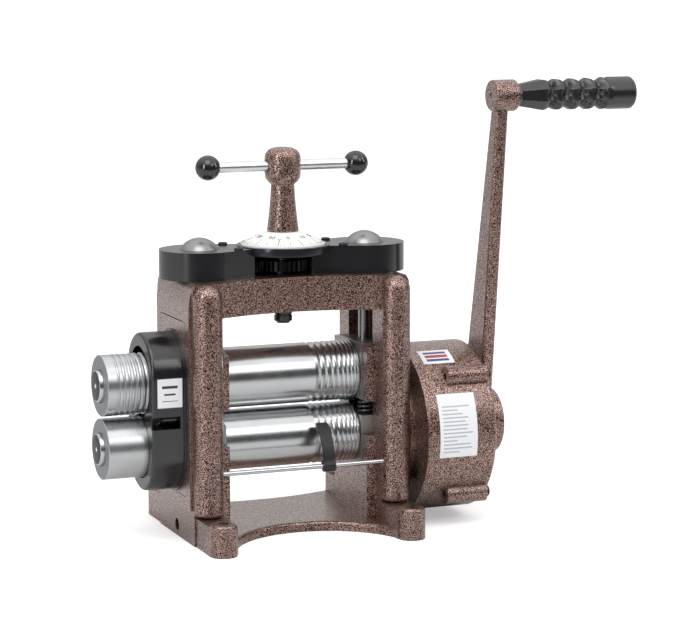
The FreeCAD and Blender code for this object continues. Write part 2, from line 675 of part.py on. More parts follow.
def arc_cutter(name, half, mid, end, side, z):
    """A cylinder whose side forms a concave edge: mid deep in the middle, end deep at +-half."""
    hollow = end - mid
    radius = (half * half + hollow * hollow) / (2 * hollow)
    return rod(name, radius, z, (0, side * (mid + radius)), along="Z")


def base_plate():
    z = (0, d.base_thick)
    blank = box("base_blank", (-wall_in - SEAM, wall_in + SEAM), (-d.foot_y, d.foot_y), z)
    front = arc_cutter("base_front_arc", wall_in, d.base_front_mid, d.base_front_end, -1,
                       (-SEAM, d.foot_rise))
    rear = arc_cutter("base_rear_arc", wall_in, d.base_rear_mid, d.base_rear_end, 1, (-SEAM, d.foot_rise))
    waisted = cut("base_waisted", blank, front, rear)
    return rounded("base_plate", waisted, d.base_round,
                   lambda edge, middle: is_circle(edge) and near(middle.z, d.base_thick))


def crossbar():
    z = (bar_foot, wall_top)
    blank = box("bar_blank", (-wall_in - SEAM, wall_in + SEAM), (-d.bar_end, d.bar_end), z)
    front = arc_cutter("bar_front_arc", wall_in, d.bar_mid, d.bar_end, -1,
                       (bar_foot - SEAM, wall_top + SEAM))
    rear = arc_cutter("bar_rear_arc", wall_in, d.bar_mid, d.bar_end, 1, (bar_foot - SEAM, wall_top + SEAM))
    return cut("crossbar", blank, front, rear)


def column(name, x, y):
    """A round wall edge with a rounded underside and a domed top."""
    dome = wall_top - d.column_radius
    shaft = rod(name + "_shaft", d.column_radius, (column_foot, dome), (x, y), along="Z")
    eased = rounded(name + "_eased", shaft, d.column_round,
                    lambda edge, middle: is_circle(edge) and near(middle.z, column_foot))
    return fuse(name, eased, ball(name + "_dome", d.column_radius, x, y, dome))


def foot(name, x, y):
    boss = rod(name + "_boss", d.foot_radius, (0, d.foot_rise), (x, y), along="Z")
    return rounded(name, boss, d.foot_round,
                   lambda edge, middle: is_circle(edge) and near(middle.z, d.foot_rise))


def side_wall(name, side):
    """One side of the frame: wall, columns, rail, feet, pad and bearing housing."""
    rail_out = foot_x + d.foot_radius
    wall = box(name + "_slab", (side * wall_in, side * d.wall_out), (-d.column_y, d.column_y),
               (0, wall_top))
    rail = box(name + "_rail", (side * (rail_out - d.rail_thick), side * rail_out),
               (-d.foot_y, d.foot_y), (0, d.rail_rise))
    pad = box(name + "_pad", (side * (d.wall_out - SEAM), side * pad_face), (-d.pad_half, d.pad_half),
              (pad_foot, wall_top))
    housing = box(name + "_housing", (side * rib_in, side * (wall_in + SEAM)), (-d.rib_half, d.rib_half),
                  (0, rib_top))
    jamb_gap = box(name + "_jamb_gap", (side * (rib_in - SEAM), side * wall_in),
                   (-d.rib_half - SEAM, d.rib_half + SEAM), (rib_gap_foot, block_high_foot))
    forms = [wall, rail, pad, cut(name + "_jambs", housing, jamb_gap)]
    for end in (-1, 1):
        forms.append(column(f"{name}_column{end + 1}", side * column_x, end * d.column_y))
        forms.append(foot(f"{name}_foot{end + 1}", side * foot_x, end * d.foot_y))
    return fuse(name, *forms)


def wall_cuts(name, side):
    """What is machined out of one side: window, plate seat, nut bore, holes."""
    through = (side * (rib_in - SEAM), side * (pad_face + SEAM))
    gap = d.plate_gap
    cuts = [
        box(name + "_window", through, (-d.window_half, d.window_half), (window_foot, window_top)),
        plate_blank(name + "_seat", (side * plate_back, side * (pad_face + SEAM)), gap),
        rod(name + "_nut_bore", nut_radius, (window_top - SEAM, wall_top + SEAM), (side * d.screw_x, 0),
            "Z"),
        rod(name + "_side_hole", d.side_hole_radius,
            (side * (d.wall_out - d.side_hole_depth), side * pad_face),
            (0, d.side_hole_rise)),
        rod(name + "_rod_hole", d.rod_radius + d.running,
            (side * (wall_in - SEAM), side * (wall_in + d.rod_sink)),
            (rod_y, rod_rise)),
        rod(name + "_idler_hole", d.idler_pin, (wall_top - d.idler_pin_sink, wall_top + SEAM),
            (side * idler_x, 0), "Z"),
    ]
    for end in (-1, 1):
        cuts.append(rod(f"{name}_bolt_hole{end + 1}", d.foot_bore, (-SEAM, d.foot_rise + SEAM),
                        (side * foot_x, end * d.foot_y), "Z"))
        cuts.append(rod(f"{name}_head_hole{end + 1}", d.head_screw_radius,
                        (wall_top - d.head_screw_sink, wall_top + SEAM),
                        (side * head_screw_x, end * d.head_screw_y), "Z"))
    return cuts


def flange_spots():
    """The four flange screws' places in Y and Z."""
    turn = math.radians(float(d.flange_screw_angle))
    for end in (-1, 1):
        for rise in (-1, 1):
            yield (end * math.cos(turn) * flange_screw_pitch,
                   d.lower_axis + rise * math.sin(turn) * flange_screw_pitch)


def frame():
    casting = fuse("frame_casting", base_plate(), crossbar(), side_wall("left_wall", -1),
                   side_wall("right_wall", 1))
    cuts = wall_cuts("left_cut", -1) + wall_cuts("right_cut", 1)
    cuts.append(rod("bush_bore", spindle_bush, (bar_foot - SEAM, wall_top + SEAM), (0, 0), "Z"))
    for n, spot in enumerate(flange_spots()):
        cuts.append(rod(f"flange_hole{n}", d.flange_screw_radius,
                        (pad_face - d.flange_screw_sink, pad_face + SEAM), spot))
    finish(cut("frame_machined", casting, *cuts), "frame")


# ---- window plates ------------------------------------------------------------------------------------

def plate_blank(name, x, extra=0):
    """The rounded outline of a window plate over a span in X, larger all round by extra."""
    half = d.plate_half + extra
    low, high = plate_foot - extra, plate_top + extra
    inset = d.plate_round
    forms = [box(name + "_tall", x, (inset - half, half - inset), (low, high)),
             box(name + "_wide", x, (-half, half), (low + inset, high - inset))]
    for n, (y, z) in enumerate([(-1, low + inset), (1, low + inset), (-1, high - inset),
                                (1, high - inset)]):
        forms.append(rod(f"{name}_corner{n}", inset, x, (y * (half - inset), z)))
    return fuse(name, *forms)


def upper_slot(name, radius, x):
    """Room for the upper journal over its travel."""
    return fuse(name,
                rod(name + "_low", radius, x, (0, upper_axis - d.travel_down)),
                rod(name + "_high", radius, x, (0, upper_axis + d.travel_up)),
                box(name + "_mid", x, (-radius, radius),
                    (upper_axis - d.travel_down, upper_axis + d.travel_up)))


def window_plates():
    hole = d.journal_radius + d.shaft_hole_gap
    left_x = (-pad_face - SEAM, -plate_back + SEAM)
    left = cut("plate_left", plate_blank("plate_left_blank", (-pad_face, -plate_back)),
               rod("plate_left_hole", hole, left_x, (0, d.lower_axis)),
               upper_slot("plate_left_slot", hole, left_x),
               *[rod(f"plate_left_screw{n}", d.cover_screw_radius, left_x,
                     (end * d.cover_screw_y, slot_middle))
                 for n, end in enumerate((-1, 1))])
    finish(left, "window_plate_left")
    right = cut("plate_right", plate_blank("plate_right_blank", (plate_back, pad_face)),
                rod("plate_right_hole", hole, (plate_back - SEAM, pad_face + SEAM), (0, d.lower_axis)))
    finish(right, "window_plate_right")


# ---- bearing blocks, bushes and springs ----------------------------------------------------------------

def bearing_blocks():
    half = d.window_half - d.block_gap
    for side, word in ((-1, "left"), (1, "right")):
        x = (side * block_in, side * block_out)
        bore_x = (side * (block_in - SEAM), side * (block_out + SEAM))
        lower = cut(f"lower_{word}_bored",
                    box(f"lower_{word}_blank", x, (-half, half), (window_foot, block_low_top)),
                    rod(f"lower_{word}_bore", bush_radius, bore_x, (0, d.lower_axis)))
        finish(lower, f"lower_block_{word}")
        upper = cut(f"upper_{word}_bored",
                    box(f"upper_{word}_blank", x, (-half, half), (block_high_foot, block_high_top)),
                    rod(f"upper_{word}_bore", bush_radius, bore_x, (0, upper_axis)))
        finish(upper, f"upper_block_{word}")


def bushes(name, rise):
    """The two bronze bushes of one roll, as one group."""
    pair = []
    for side in (-1, 1):
        x = (side * block_in, side * block_out)
        bore_x = (side * (block_in - SEAM), side * (block_out + SEAM))
        pair.append(cut(f"{name}_{side + 1}", rod(f"{name}_blank{side + 1}", bush_radius, x, (0, rise)),
                        rod(f"{name}_bore{side + 1}", d.journal_radius + d.running, bore_x, (0, rise))))
    group = doc.addObject("Part::Compound", name + "_pair")
    group.Links = pair
    finish(group, name)


def coil(radius, wire, turns, rise):
    """A coil spring's wire along Z, as mitred straight spans round the helix."""
    count = round(turns * SPANS_PER_TURN)
    spots = []
    for n in range(count + 1):
        share = n / count
        spots.append(polar(radius, 2 * math.pi * turns * share) + FreeCAD.Vector(0, 0, rise * share))
    section = Part.Wire(Part.Circle(spots[0], spots[1] - spots[0], wire).toShape())
    return Part.makePolygon(spots).makePipeShell([section], True, False, MITRED)


def carriage_springs():
    """Four coil springs that lift the upper blocks."""
    seat = d.spring_wire + d.block_gap
    rise = block_high_foot - block_low_top - 2 * seat
    spring = coil(float(d.spring_radius), float(d.spring_wire), float(d.spring_turns), float(rise))
    coils = []
    for side in (-1, 1):
        for end in (-1, 1):
            copy = spring.copy()
            copy.translate(FreeCAD.Vector(side * float(spring_x), end * float(spring_y), 0))
            coils.append(copy)
    finish(feature("springs", Part.makeCompound(coils), (0, 0, block_low_top + seat)), "carriage_springs")


# ---- rolls --------------------------------------------------------------------------------------------

def groove_stations(start):
    """Corners of the V-grooves of a roll, with start the place of the roll's middle."""
    stations = []
    middle = start + groove_middle
    for pitch, half in zip(groove_pitches, groove_halves):
        stations += [(middle - half, d.roll_radius), (middle, d.roll_radius - half),
                     (middle + half, d.roll_radius)]
        middle = middle + pitch
    return stations


def roll(name, rise, right_end, square):
    """A roll with its journals, turned from one bar; distances run from the left end of its shaft."""
    left = ext_left - d.cap_sink
    shoulder = cover_floor - d.cover_web + d.block_gap
    face = left - d.roll_half
    chamfer = d.roll_chamfer
    stations = [(0, 0), (0, d.ext_bore), (left - shoulder, d.ext_bore), (left - shoulder, d.journal_radius),
                (face, d.journal_radius), (face, d.roll_radius - chamfer), (face + chamfer, d.roll_radius)]
    stations += groove_stations(left)
    stations += [(left + d.roll_half - chamfer, d.roll_radius),
                 (left + d.roll_half, d.roll_radius - chamfer),
                 (left + d.roll_half, d.journal_radius), (left + right_end, d.journal_radius),
                 (left + right_end, 0)]
    body = turned(name + "_turned", stations, (-left, 0, rise))
    if square:
        across = d.carrier_square
        tail = box(name + "_square", (right_end - SEAM, carrier_right), (-across, across),
                   (rise - across, rise + across))
        body = fuse(name + "_shaft", body, tail)
    finish(body, name)


def extension_roll(name, rise, grooves):
    """A roll beside the frame; distances run from its outer face, where the end cap sits in a seat."""
    edge = d.roll_chamfer
    stations = [(d.cap_sink, d.ext_bore), (d.cap_sink, d.cap_radius), (0, d.cap_radius),
                (0, d.roll_radius - edge), (edge, d.roll_radius)]
    for n in range(int(grooves)):
        middle = d.ext_width - d.ext_groove_inset + n * d.ext_groove_pitch
        half = d.ext_groove_small + n * d.ext_groove_step
        stations += [(middle - half, d.roll_radius, DIP), (middle + half, d.roll_radius)]
    stations += [(d.ext_width - edge, d.roll_radius), (d.ext_width, d.roll_radius - edge),
                 (d.ext_width, d.ext_bore)]
    finish(turned(name + "_turned", stations, (-ext_left, 0, rise)), name)


def end_cap(name, rise):
    left = d.cap_sink - ext_left
    face = left - d.cap_sink - d.cap_proud
    cap = rod(name + "_blank", d.cap_radius, (face, left), (0, rise))
    eased = rounded(name + "_eased", cap, d.cap_round,
                    lambda edge, middle: is_circle(edge) and near(middle.x, face))
    dimple = ball(name + "_dimple", d.cap_dimple, face, 0, rise)
    finish(cut(name + "_turned", eased, dimple), name)


def sync_gear(name, rise, phase):
    """A long-tooth gear that stays in mesh while the upper roll travels."""
    face = gear_face(d.sync_teeth, sync_pitch, sync_tip, sync_pitch - d.sync_dedendum, d.sync_tooth,
                     d.sync_pressure, phase)
    blank = prism(face, d.sync_width).cut(disc(d.journal_radius, d.sync_width))
    finish(feature(name + "_teeth", blank, (-sync_right - d.sync_width, 0, rise), "X"), name)


def rolls():
    lower_end = carrier_right - d.carrier_thick
    roll("lower_roll", d.lower_axis, lower_end, True)
    roll("upper_roll", upper_axis, block_out - d.block_gap, False)
    extension_roll("lower_extension_roll", d.lower_axis, 0)
    extension_roll("upper_extension_roll", upper_axis, d.ext_groove_count)
    end_cap("lower_end_cap", d.lower_axis)
    end_cap("upper_end_cap", upper_axis)
    sync_gear("lower_sync_gear", d.lower_axis, math.pi / 2)
    sync_gear("upper_sync_gear", upper_axis, math.pi / 2 + math.pi / float(d.sync_teeth))


# ---- gear cover ---------------------------------------------------------------------------------------

def gear_cover():
    left, right = -cover_left, -pad_face
    web_left = -cover_floor
    web_right = web_left + d.cover_web
    foot, top = cover_foot, cover_top
    inner = cover_half - d.cover_wall
    shell = fuse("cover_shell",
                 obround("cover_outer", cover_half, (left, right), (foot, top)),
                 obround("cover_lip", cover_half + d.cover_lip, (right - d.cover_lip_thick, right),
                         (foot - d.cover_lip, top + d.cover_lip)))
    hollow_z = (foot + d.cover_wall, top - d.cover_wall)
    hole = d.journal_radius + d.shaft_hole_gap
    web_x = (web_left - SEAM, web_right + SEAM)
    hollow = cut("cover_hollow", obround("cover_chamber", inner, (web_right, right + SEAM), hollow_z),
                 *[rod(f"cover_post{n}", d.cover_post, (web_right - SEAM, right + 2 * SEAM),
                       (end * d.cover_screw_y, slot_middle))
                   for n, end in enumerate((-1, 1))])
    slot = box("cover_slot", (left - SEAM, -slot_right),
               (-cover_half - d.cover_lip, cover_half + d.cover_lip),
               (slot_foot, slot_top))
    slot_core = box("cover_slot_core", (left - 2 * SEAM, -slot_right + SEAM), (-inner, inner),
                    (slot_foot - SEAM, slot_top + SEAM))
    tools = [hollow,
             obround("cover_recess", inner, (left - SEAM, web_left), hollow_z),
             rod("cover_lower_hole", hole, web_x, (0, d.lower_axis)),
             upper_slot("cover_upper_slot", hole, web_x),
             cut("cover_slots", slot, slot_core)]
    for n, end in enumerate((-1, 1)):
        tools.append(rod(f"cover_screw_hole{n}", d.cover_screw_radius, (web_left - SEAM, right + SEAM),
                         (end * d.cover_screw_y, slot_middle)))
    finish(cut("cover_cut", shell, *tools), "gear_cover")


def gear_cover_screws():
    screws = []
    for n, end in enumerate((-1, 1)):
        spot = (end * d.cover_screw_y, slot_middle)
        screws.append(fuse(f"cover_screw{n}",
                           rod(f"cover_screw_shank{n}", d.cover_screw_radius, (-cover_floor, -plate_back),
                               spot),
                           rod(f"cover_screw_head{n}", d.cover_screw_head,
                               (-cover_floor - d.head_screw_rise, -cover_floor), spot)))
    group = doc.addObject("Part::Compound", "cover_screw_pair")
    group.Links = screws
    finish(group, "gear_cover_screws")


def gear_cover_label():
    front = -cover_half
    foot = upper_axis - d.cover_sticker_drop
    finish(box("cover_sticker", (-cover_sticker_left, d.cover_sticker_width - cover_sticker_left),
               (front - d.sticker_thick, front),
               (foot, foot + d.cover_sticker_tall)), "gear_cover_label")


# ---- head: cover, adjusting gears, screws and dial -----------------------------------------------------

def head_plan(name, z, wall):
    """The head cover's outline, narrower all round by wall."""
    lobe = head_lobe - wall
    end_x, end_y = d.screw_x - d.taper_run, head_lobe - d.taper_drop - wall
    waist = waist_y - wall
    forms = [rod(f"{name}_lobe{side + 1}", lobe, z, (side * d.screw_x, 0), "Z") for side in (-1, 1)]
    forms.append(rod(name + "_middle", head_middle - wall, z, (0, 0), "Z"))
    forms.append(plate(name + "_waist", [(-end_x, -end_y), (-d.waist_x, -waist), (d.waist_x, -waist),
                                         (end_x, -end_y), (end_x, end_y), (d.waist_x, waist),
                                         (-d.waist_x, waist), (-end_x, end_y)], z))
    return fuse(name, *forms)


def head_cover():
    roof = head_top - d.head_roof
    outer = head_plan("head_outer", (wall_top, head_top), 0)
    posts = [rod(f"head_post{side + 1}{end + 1}", d.head_post, (wall_top - SEAM, roof + SEAM),
                 (side * head_screw_x, end * d.head_screw_y), "Z") for side in (-1, 1) for end in (-1, 1)]
    hollow = cut("head_hollow", head_plan("head_inner", (wall_top - SEAM, roof), d.head_wall), *posts)
    tools = [hollow, rod("head_ring_seat", d.ring_radius, (ring_foot, head_top + SEAM), (0, 0), "Z"),
             rod("head_spindle_hole", head_middle - d.head_wall, (roof - 2 * SEAM, head_top + SEAM), (0, 0),
                 "Z")]
    for side in (-1, 1):
        tools.append(rod(f"head_dome_hole{side + 1}", d.dome_radius + d.block_gap,
                         (roof - SEAM, head_top + SEAM),
                         (side * d.screw_x, 0), "Z"))
        for end in (-1, 1):
            tools.append(rod(f"head_screw_hole{side + 1}{end + 1}", d.head_screw_radius,
                             (wall_top - 2 * SEAM, head_top + SEAM),
                             (side * head_screw_x, end * d.head_screw_y), "Z"))
    finish(cut("head_cut", outer, *tools), "gear_head_cover")


def head_screws():
    crown = head_top + d.head_screw_rise
    screws = []
    for side in (-1, 1):
        for end in (-1, 1):
            tag = f"{side + 1}{end + 1}"
            spot = (side * head_screw_x, end * d.head_screw_y)
            head = rod("head_button" + tag, d.head_screw_head, (head_top, crown), spot, "Z")
            eased = rounded("head_button_eased" + tag, head, d.head_screw_round,
                            lambda edge, middle: is_circle(edge) and near(middle.z, crown))
            shank = rod("head_shank" + tag, d.head_screw_radius, (wall_top - d.head_screw_sink, head_top),
                        spot, "Z")
            screws.append(fuse("head_screw" + tag, eased, shank))
    group = doc.addObject("Part::Compound", "head_screw_set")
    group.Links = screws
    finish(group, "head_screws")


def dial_ring():
    seat = d.ring_radius - d.ring_rim
    floor = ring_foot + d.ring_floor
    blank = rod("ring_blank", d.ring_radius, (ring_foot, ring_top), (0, 0), "Z")
    finish(cut("ring_turned", blank, rod("ring_dish", seat, (floor, ring_top + SEAM), (0, 0), "Z"),
               rod("ring_hole", d.spindle_radius + d.shaft_hole_gap, (ring_foot - SEAM, floor + SEAM),
                   (0, 0), "Z")),
           "dial_ring")


def dial():
    edge = d.ring_radius - d.ring_rim - d.dial_gap
    floor = ring_foot + d.ring_floor + d.block_gap
    shoulder = ring_top - floor + d.dial_edge
    top = dial_top - floor
    bore = d.spindle_radius
    finish(turned("dial_turned", [(0, bore), (0, edge), (shoulder, edge), (top, d.dial_neck), (top, bore)],
                  (0, 0, floor), "Z"), "dial")


def train_gear(name, teeth, x, phase, bore, label, key=False, foot=None):
    """One gear of the adjusting train with its hub, standing on the frame's top."""
    module = float(train_module)
    pitch = module * float(teeth) / 2
    tooth = math.pi * module / 2 - float(d.train_play)
    face = gear_face(teeth, pitch, pitch + module, pitch - DEDENDUM * module, tooth, d.train_pressure,
                     phase)
    foot = wall_top + d.block_gap if foot is None else foot
    rise = float(train_foot - foot)
    shape = prism(face, d.train_width)
    shape.translate(FreeCAD.Vector(0, 0, rise))
    shape = shape.fuse(disc(bore + d.hub_wall, d.train_width + rise))
    shape = shape.cut(disc(bore, d.train_width + rise + 2 * SEAM, -SEAM))
    if key:
        half, deep = float(d.key_half), float(d.key_deep)
        spot = FreeCAD.Vector(float(bore) - deep, -half, 0)
        shape = shape.fuse(Part.makeBox(deep + SEAM, 2 * half, float(d.train_width) + rise, spot))
    finish(feature(name, shape.removeSplitter(), (x, 0, foot)), label)


def adjusting_gears():
    half_pitch = math.pi / float(d.idler_teeth)
    train_gear("centre_teeth_form", d.centre_teeth, 0, 0.0, d.spindle_radius, "centre_gear")
    for side, word in ((-1, "left"), (1, "right")):
        train_gear(f"idler_{word}_form", d.idler_teeth, side * idler_x, half_pitch, d.idler_pin + d.running,
                   f"idler_gear_{word}")
        train_gear(f"screw_{word}_form", d.screw_teeth, side * d.screw_x, 0.0, d.screw_radius + d.running,
                   f"screw_gear_{word}", key=True)


def idler_pins():
    pins = [rod(f"idler_pin{side + 1}", d.idler_pin,
                (wall_top - d.idler_pin_sink, train_top + d.head_screw_rise),
                (side * idler_x, 0), "Z") for side in (-1, 1)]
    group = doc.addObject("Part::Compound", "idler_pin_pair")
    group.Links = pins
    finish(group, "idler_pins")


def screw_nuts():
    for side, word in ((-1, "left"), (1, "right")):
        spot = (side * d.screw_x, 0)
        z = (window_top, wall_top)
        bore = rod(f"nut_{word}_bore", d.screw_radius + d.running, (window_top - SEAM, wall_top + SEAM),
                   spot, "Z")
        finish(cut(f"nut_{word}", rod(f"nut_{word}_blank", nut_radius, z, spot, "Z"), bore),
               f"screw_nut_{word}")


def adjusting_screws():
    """Screws that push the upper blocks down; the head is a dome and a keyway runs down the thread."""
    foot = block_high_top
    sphere = (d.dome_radius * d.dome_radius + d.dome_crown * d.dome_crown) / (2 * d.dome_crown)
    for side, word in ((-1, "left"), (1, "right")):
        x = side * d.screw_x
        shank = turned(f"screw_{word}_shank",
                       [(0, 0), (0, d.screw_tip), (screw_foot - foot, d.screw_tip),
                        (screw_foot - foot, d.screw_radius), (dome_foot - foot, d.screw_radius),
                        (dome_foot - foot, d.dome_radius), (dome_rim - foot, d.dome_radius),
                        (dome_rim - foot, 0)], (x, 0, foot), "Z")
        cap = doc.addObject("Part::Common", f"screw_{word}_dome")
        cap.Base = ball(f"screw_{word}_sphere", sphere, x, 0, dome_top - sphere)
        cap.Tool = rod(f"screw_{word}_slice", d.dome_radius, (dome_rim - SEAM, dome_top), (x, 0), "Z")
        key_in = d.screw_radius - d.key_deep - d.key_gap
        half = d.key_half + d.key_gap
        keyway = box(f"screw_{word}_keyway", (x + key_in, x + d.screw_radius + SEAM), (-half, half),
                     (screw_foot - SEAM, dome_foot))
        finish(cut(f"screw_{word}", fuse(f"screw_{word}_body", shank, cap), keyway),
               f"adjusting_screw_{word}")


# ---- T-handle -----------------------------------------------------------------------------------------

def handle():
    bush_z = (bar_foot, wall_top)
    finish(cut("bush_turned", rod("bush_blank", spindle_bush, bush_z, (0, 0), "Z"),
               rod("bush_hole", d.spindle_radius + d.running, (bar_foot - SEAM, wall_top + SEAM), (0, 0),
                   "Z")),
           "spindle_bush")
    finish(rod("spindle", d.spindle_radius, (spindle_end, spindle_top), (0, 0), "Z"), "handle_spindle")
    finish(cut("spindle_nut_turned",
               rod("spindle_nut_blank", d.spindle_nut_radius, (spindle_nut_foot, bar_foot - d.block_gap),
                   (0, 0), "Z"),
               rod("spindle_nut_hole", d.spindle_radius, (spindle_nut_foot - SEAM, bar_foot), (0, 0), "Z")),
           "spindle_nut")
    handle_stem()
    bar = rod("tbar", d.tbar_radius, (-d.tbar_half, d.tbar_half), (0, tbar_axis))
    finish(bar, "handle_bar")
    balls = []
    for side in (-1, 1):
        sphere = ball(f"tball{side + 1}", d.tball_radius, side * (d.tbar_half + d.tball_over), 0, tbar_axis)
        socket = rod(f"tball_bore{side + 1}", d.tbar_radius, (0, side * d.tbar_half), (0, tbar_axis))
        balls.append(cut(f"tball_drilled{side + 1}", sphere, socket))
    group = doc.addObject("Part::Compound", "tball_pair")
    group.Links = balls
    finish(group, "handle_balls")


def handle_stem():
    base = dial_top
    inset = d.stem_head_radius - d.stem_head_inset
    stations = [(0, 0), (0, d.stem_foot_radius), (stem_neck - base, d.stem_neck_radius),
                (stem_neck - base + d.stem_head_slope, d.stem_head_radius),
                (stem_head_top - base - d.stem_head_slope, d.stem_head_radius),
                (stem_head_top - base, inset), (stem_head_top - base, 0)]
    blank = turned("stem_turned", stations, (0, 0, base), "Z")
    drilled = cut("stem_drilled", blank,
                  rod("stem_bore", d.spindle_radius, (base - SEAM, spindle_top), (0, 0), "Z"),
                  rod("stem_cross_hole", d.tbar_radius,
                      (-d.stem_head_radius - SEAM, d.stem_head_radius + SEAM),
                      (0, tbar_axis)))
    finish(drilled, "handle_stem")


# ---- reduction gearbox --------------------------------------------------------------------------------

def lug_spots():
    turn = math.radians(float(d.lug_angle))
    for end in (-1, 1):
        for rise in (-1, 1):
            yield (end * math.cos(turn) * lug_pitch, d.lower_axis + rise * math.sin(turn) * lug_pitch)


def gearbox_body():
    axis = (0, d.lower_axis)
    forms = [rod("box_drum", d.box_radius, (box_left, box_seam), axis),
             rod("box_flange", d.flange_radius, (pad_face, box_left + SEAM), axis)]
    for n, spot in enumerate(lug_spots()):
        forms.append(rod(f"box_lug{n}", d.lug_radius, (lug_left, box_seam), spot))
    room = d.journal_radius + d.shaft_hole_gap
    tools = [rod("box_chamber", ring_gear_radius, (box_left + d.box_end_wall, box_seam + SEAM), axis),
             rod("box_shaft_hole", room, (pad_face - SEAM, box_left + d.box_end_wall + SEAM), axis)]
    for n, spot in enumerate(lug_spots()):
        tools.append(rod(f"box_lug_hole{n}", d.lug_bore, (lug_left - SEAM, box_seam + SEAM), spot))
    wall = box_left + d.box_end_wall
    for n, spot in enumerate(flange_spots()):
        tools.append(rod(f"box_flange_hole{n}", d.flange_screw_radius, (pad_face - SEAM, wall), spot))
        tools.append(rod(f"box_flange_sink{n}", d.flange_screw_head,
                         (wall - d.flange_head_deep, wall + SEAM), spot))
    finish(cut("box_body_cut", fuse("box_body_cast", *forms), *tools), "gearbox_body")


def gearbox_cover():
    axis = (0, d.lower_axis)
    inner_wall = box_right - d.box_end_wall
    drum = rod("lid_drum", d.box_radius, (box_seam, box_right), axis)
    eased = rounded("lid_eased", drum, d.box_round,
                    lambda edge, middle: is_circle(edge) and near(middle.x, box_right))
    lugs = []
    for n, spot in enumerate(lug_spots()):
        lugs.append(rod(f"lid_lug{n}", d.lug_radius, (box_seam, lug_right), spot))
    chamber = rod("lid_chamber", ring_gear_radius, (box_seam - SEAM, inner_wall), axis)
    boss = rod("lid_boss", d.crank_boss, (box_seam - 2 * SEAM, inner_wall + SEAM), axis)
    bush = d.crank_shaft + d.running + d.crank_bush_wall
    tools = [cut("lid_hollow", chamber, boss),
             rod("lid_bush_bore", bush, (box_seam - SEAM, box_right + SEAM), axis)]
    for n, spot in enumerate(lug_spots()):
        tools.append(rod(f"lid_lug_hole{n}", d.lug_bore, (box_seam - SEAM, lug_right + SEAM), spot))
        tools.append(rod(f"lid_spot_face{n}", d.lug_screw_head + d.block_gap, (lug_right, box_right + SEAM),
                         spot))
    finish(cut("lid_cut", fuse("lid_cast", eased, *lugs), *tools), "gearbox_cover")
    finish(cut("crank_bush_turned", rod("crank_bush_blank", bush, (box_seam, box_right), axis),
               rod("crank_bush_hole", d.crank_shaft + d.running, (box_seam - SEAM, box_right + SEAM),
                   axis)),
           "crank_bush")


def gearbox_screws():
    screws = []
    for n, spot in enumerate(lug_spots()):
        shank = rod(f"lug_shank{n}", d.lug_bore, (lug_left + d.lug_radius, lug_right), spot)
        head = rod(f"lug_head{n}", d.lug_screw_head, (lug_right, lug_right + d.lug_screw_rise), spot)
        screws.append(fuse(f"lug_screw{n}", shank, head))
    group = doc.addObject("Part::Compound", "lug_screw_set")
    group.Links = screws
    finish(group, "gearbox_screws")
    bolts = []
    wall = box_left + d.box_end_wall
    for n, spot in enumerate(flange_spots()):
        shank = rod(f"flange_shank{n}", d.flange_screw_radius, (pad_face - d.flange_screw_sink, wall), spot)
        head = rod(f"flange_head{n}", d.flange_screw_head, (wall - d.flange_head_deep, wall), spot)
        bolts.append(fuse(f"flange_screw{n}", shank, head))
    group = doc.addObject("Part::Compound", "flange_screw_set")
    group.Links = bolts
    finish(group, "gearbox_flange_screws")


def planetary_gears():
    module = float(planet_module)
    tooth = math.pi * module / 2 - float(d.planet_play)
    space = math.pi * module / 2 + float(d.planet_play)
    depth = DEDENDUM * module
    ring_pitch = module * float(d.ring_teeth) / 2
    void = gear_face(d.ring_teeth, ring_pitch, ring_pitch + depth, ring_pitch - module, space,
                     d.planet_pressure, math.pi / 2)
    left = planet_left - (d.ring_gear_width - d.planet_width) / 2
    ring = disc(ring_gear_radius, d.ring_gear_width).cut(prism(void, d.ring_gear_width))
    finish(feature("ring_gear_form", ring, (left, 0, d.lower_axis), "X"), "ring_gear")
    planet_radius = module * float(planet_teeth) / 2
    for n in range(3):
        angle = math.pi / 2 + n * 2 * math.pi / 3
        face = gear_face(planet_teeth, planet_radius, planet_radius + module, planet_radius - depth, tooth,
                         d.planet_pressure, angle)
        shape = prism(face, d.planet_width).cut(disc(d.planet_pin + d.running, d.planet_width))
        across, up = math.cos(angle), math.sin(angle)
        finish(feature(f"planet_form{n}", shape,
                       (planet_left, across * planet_pitch, d.lower_axis + up * planet_pitch), "X"),
               f"planet_gear_{n + 1}")


def planet_carrier():
    axis = (0, d.lower_axis)
    x = (carrier_right - d.carrier_thick, carrier_right)
    plate_form = rod("carrier_disc", carrier_radius, x, axis)
    across = d.carrier_square
    square = box("carrier_hole", (x[0] - SEAM, x[1] + SEAM), (-across, across),
                 (d.lower_axis - across, d.lower_axis + across))
    pins = []
    for n in range(3):
        angle = math.pi / 2 + n * 2 * math.pi / 3
        pins.append(rod(f"carrier_pin{n}", d.planet_pin,
                        (carrier_right - SEAM, planet_right + d.planet_gap),
                        (math.cos(angle) * planet_pitch, d.lower_axis + math.sin(angle) * planet_pitch)))
    finish(fuse("carrier_form", cut("carrier_bored", plate_form, square), *pins), "planet_carrier")


def sun_shaft():
    """The crank shaft with the sun gear cut on its inner end."""
    module = float(planet_module)
    pitch = module * float(d.sun_teeth) / 2
    tooth = math.pi * module / 2 - float(d.planet_play)
    face = gear_face(d.sun_teeth, pitch, pitch + module, pitch - DEDENDUM * module, tooth,
                     d.planet_pressure, 0.0)
    length = hub_right + d.crank_nut_thick - planet_left
    shape = prism(face, d.planet_width).fuse(disc(d.crank_shaft, length))
    finish(feature("sun_form", shape.removeSplitter(), (planet_left, 0, d.lower_axis), "X"), "sun_shaft")


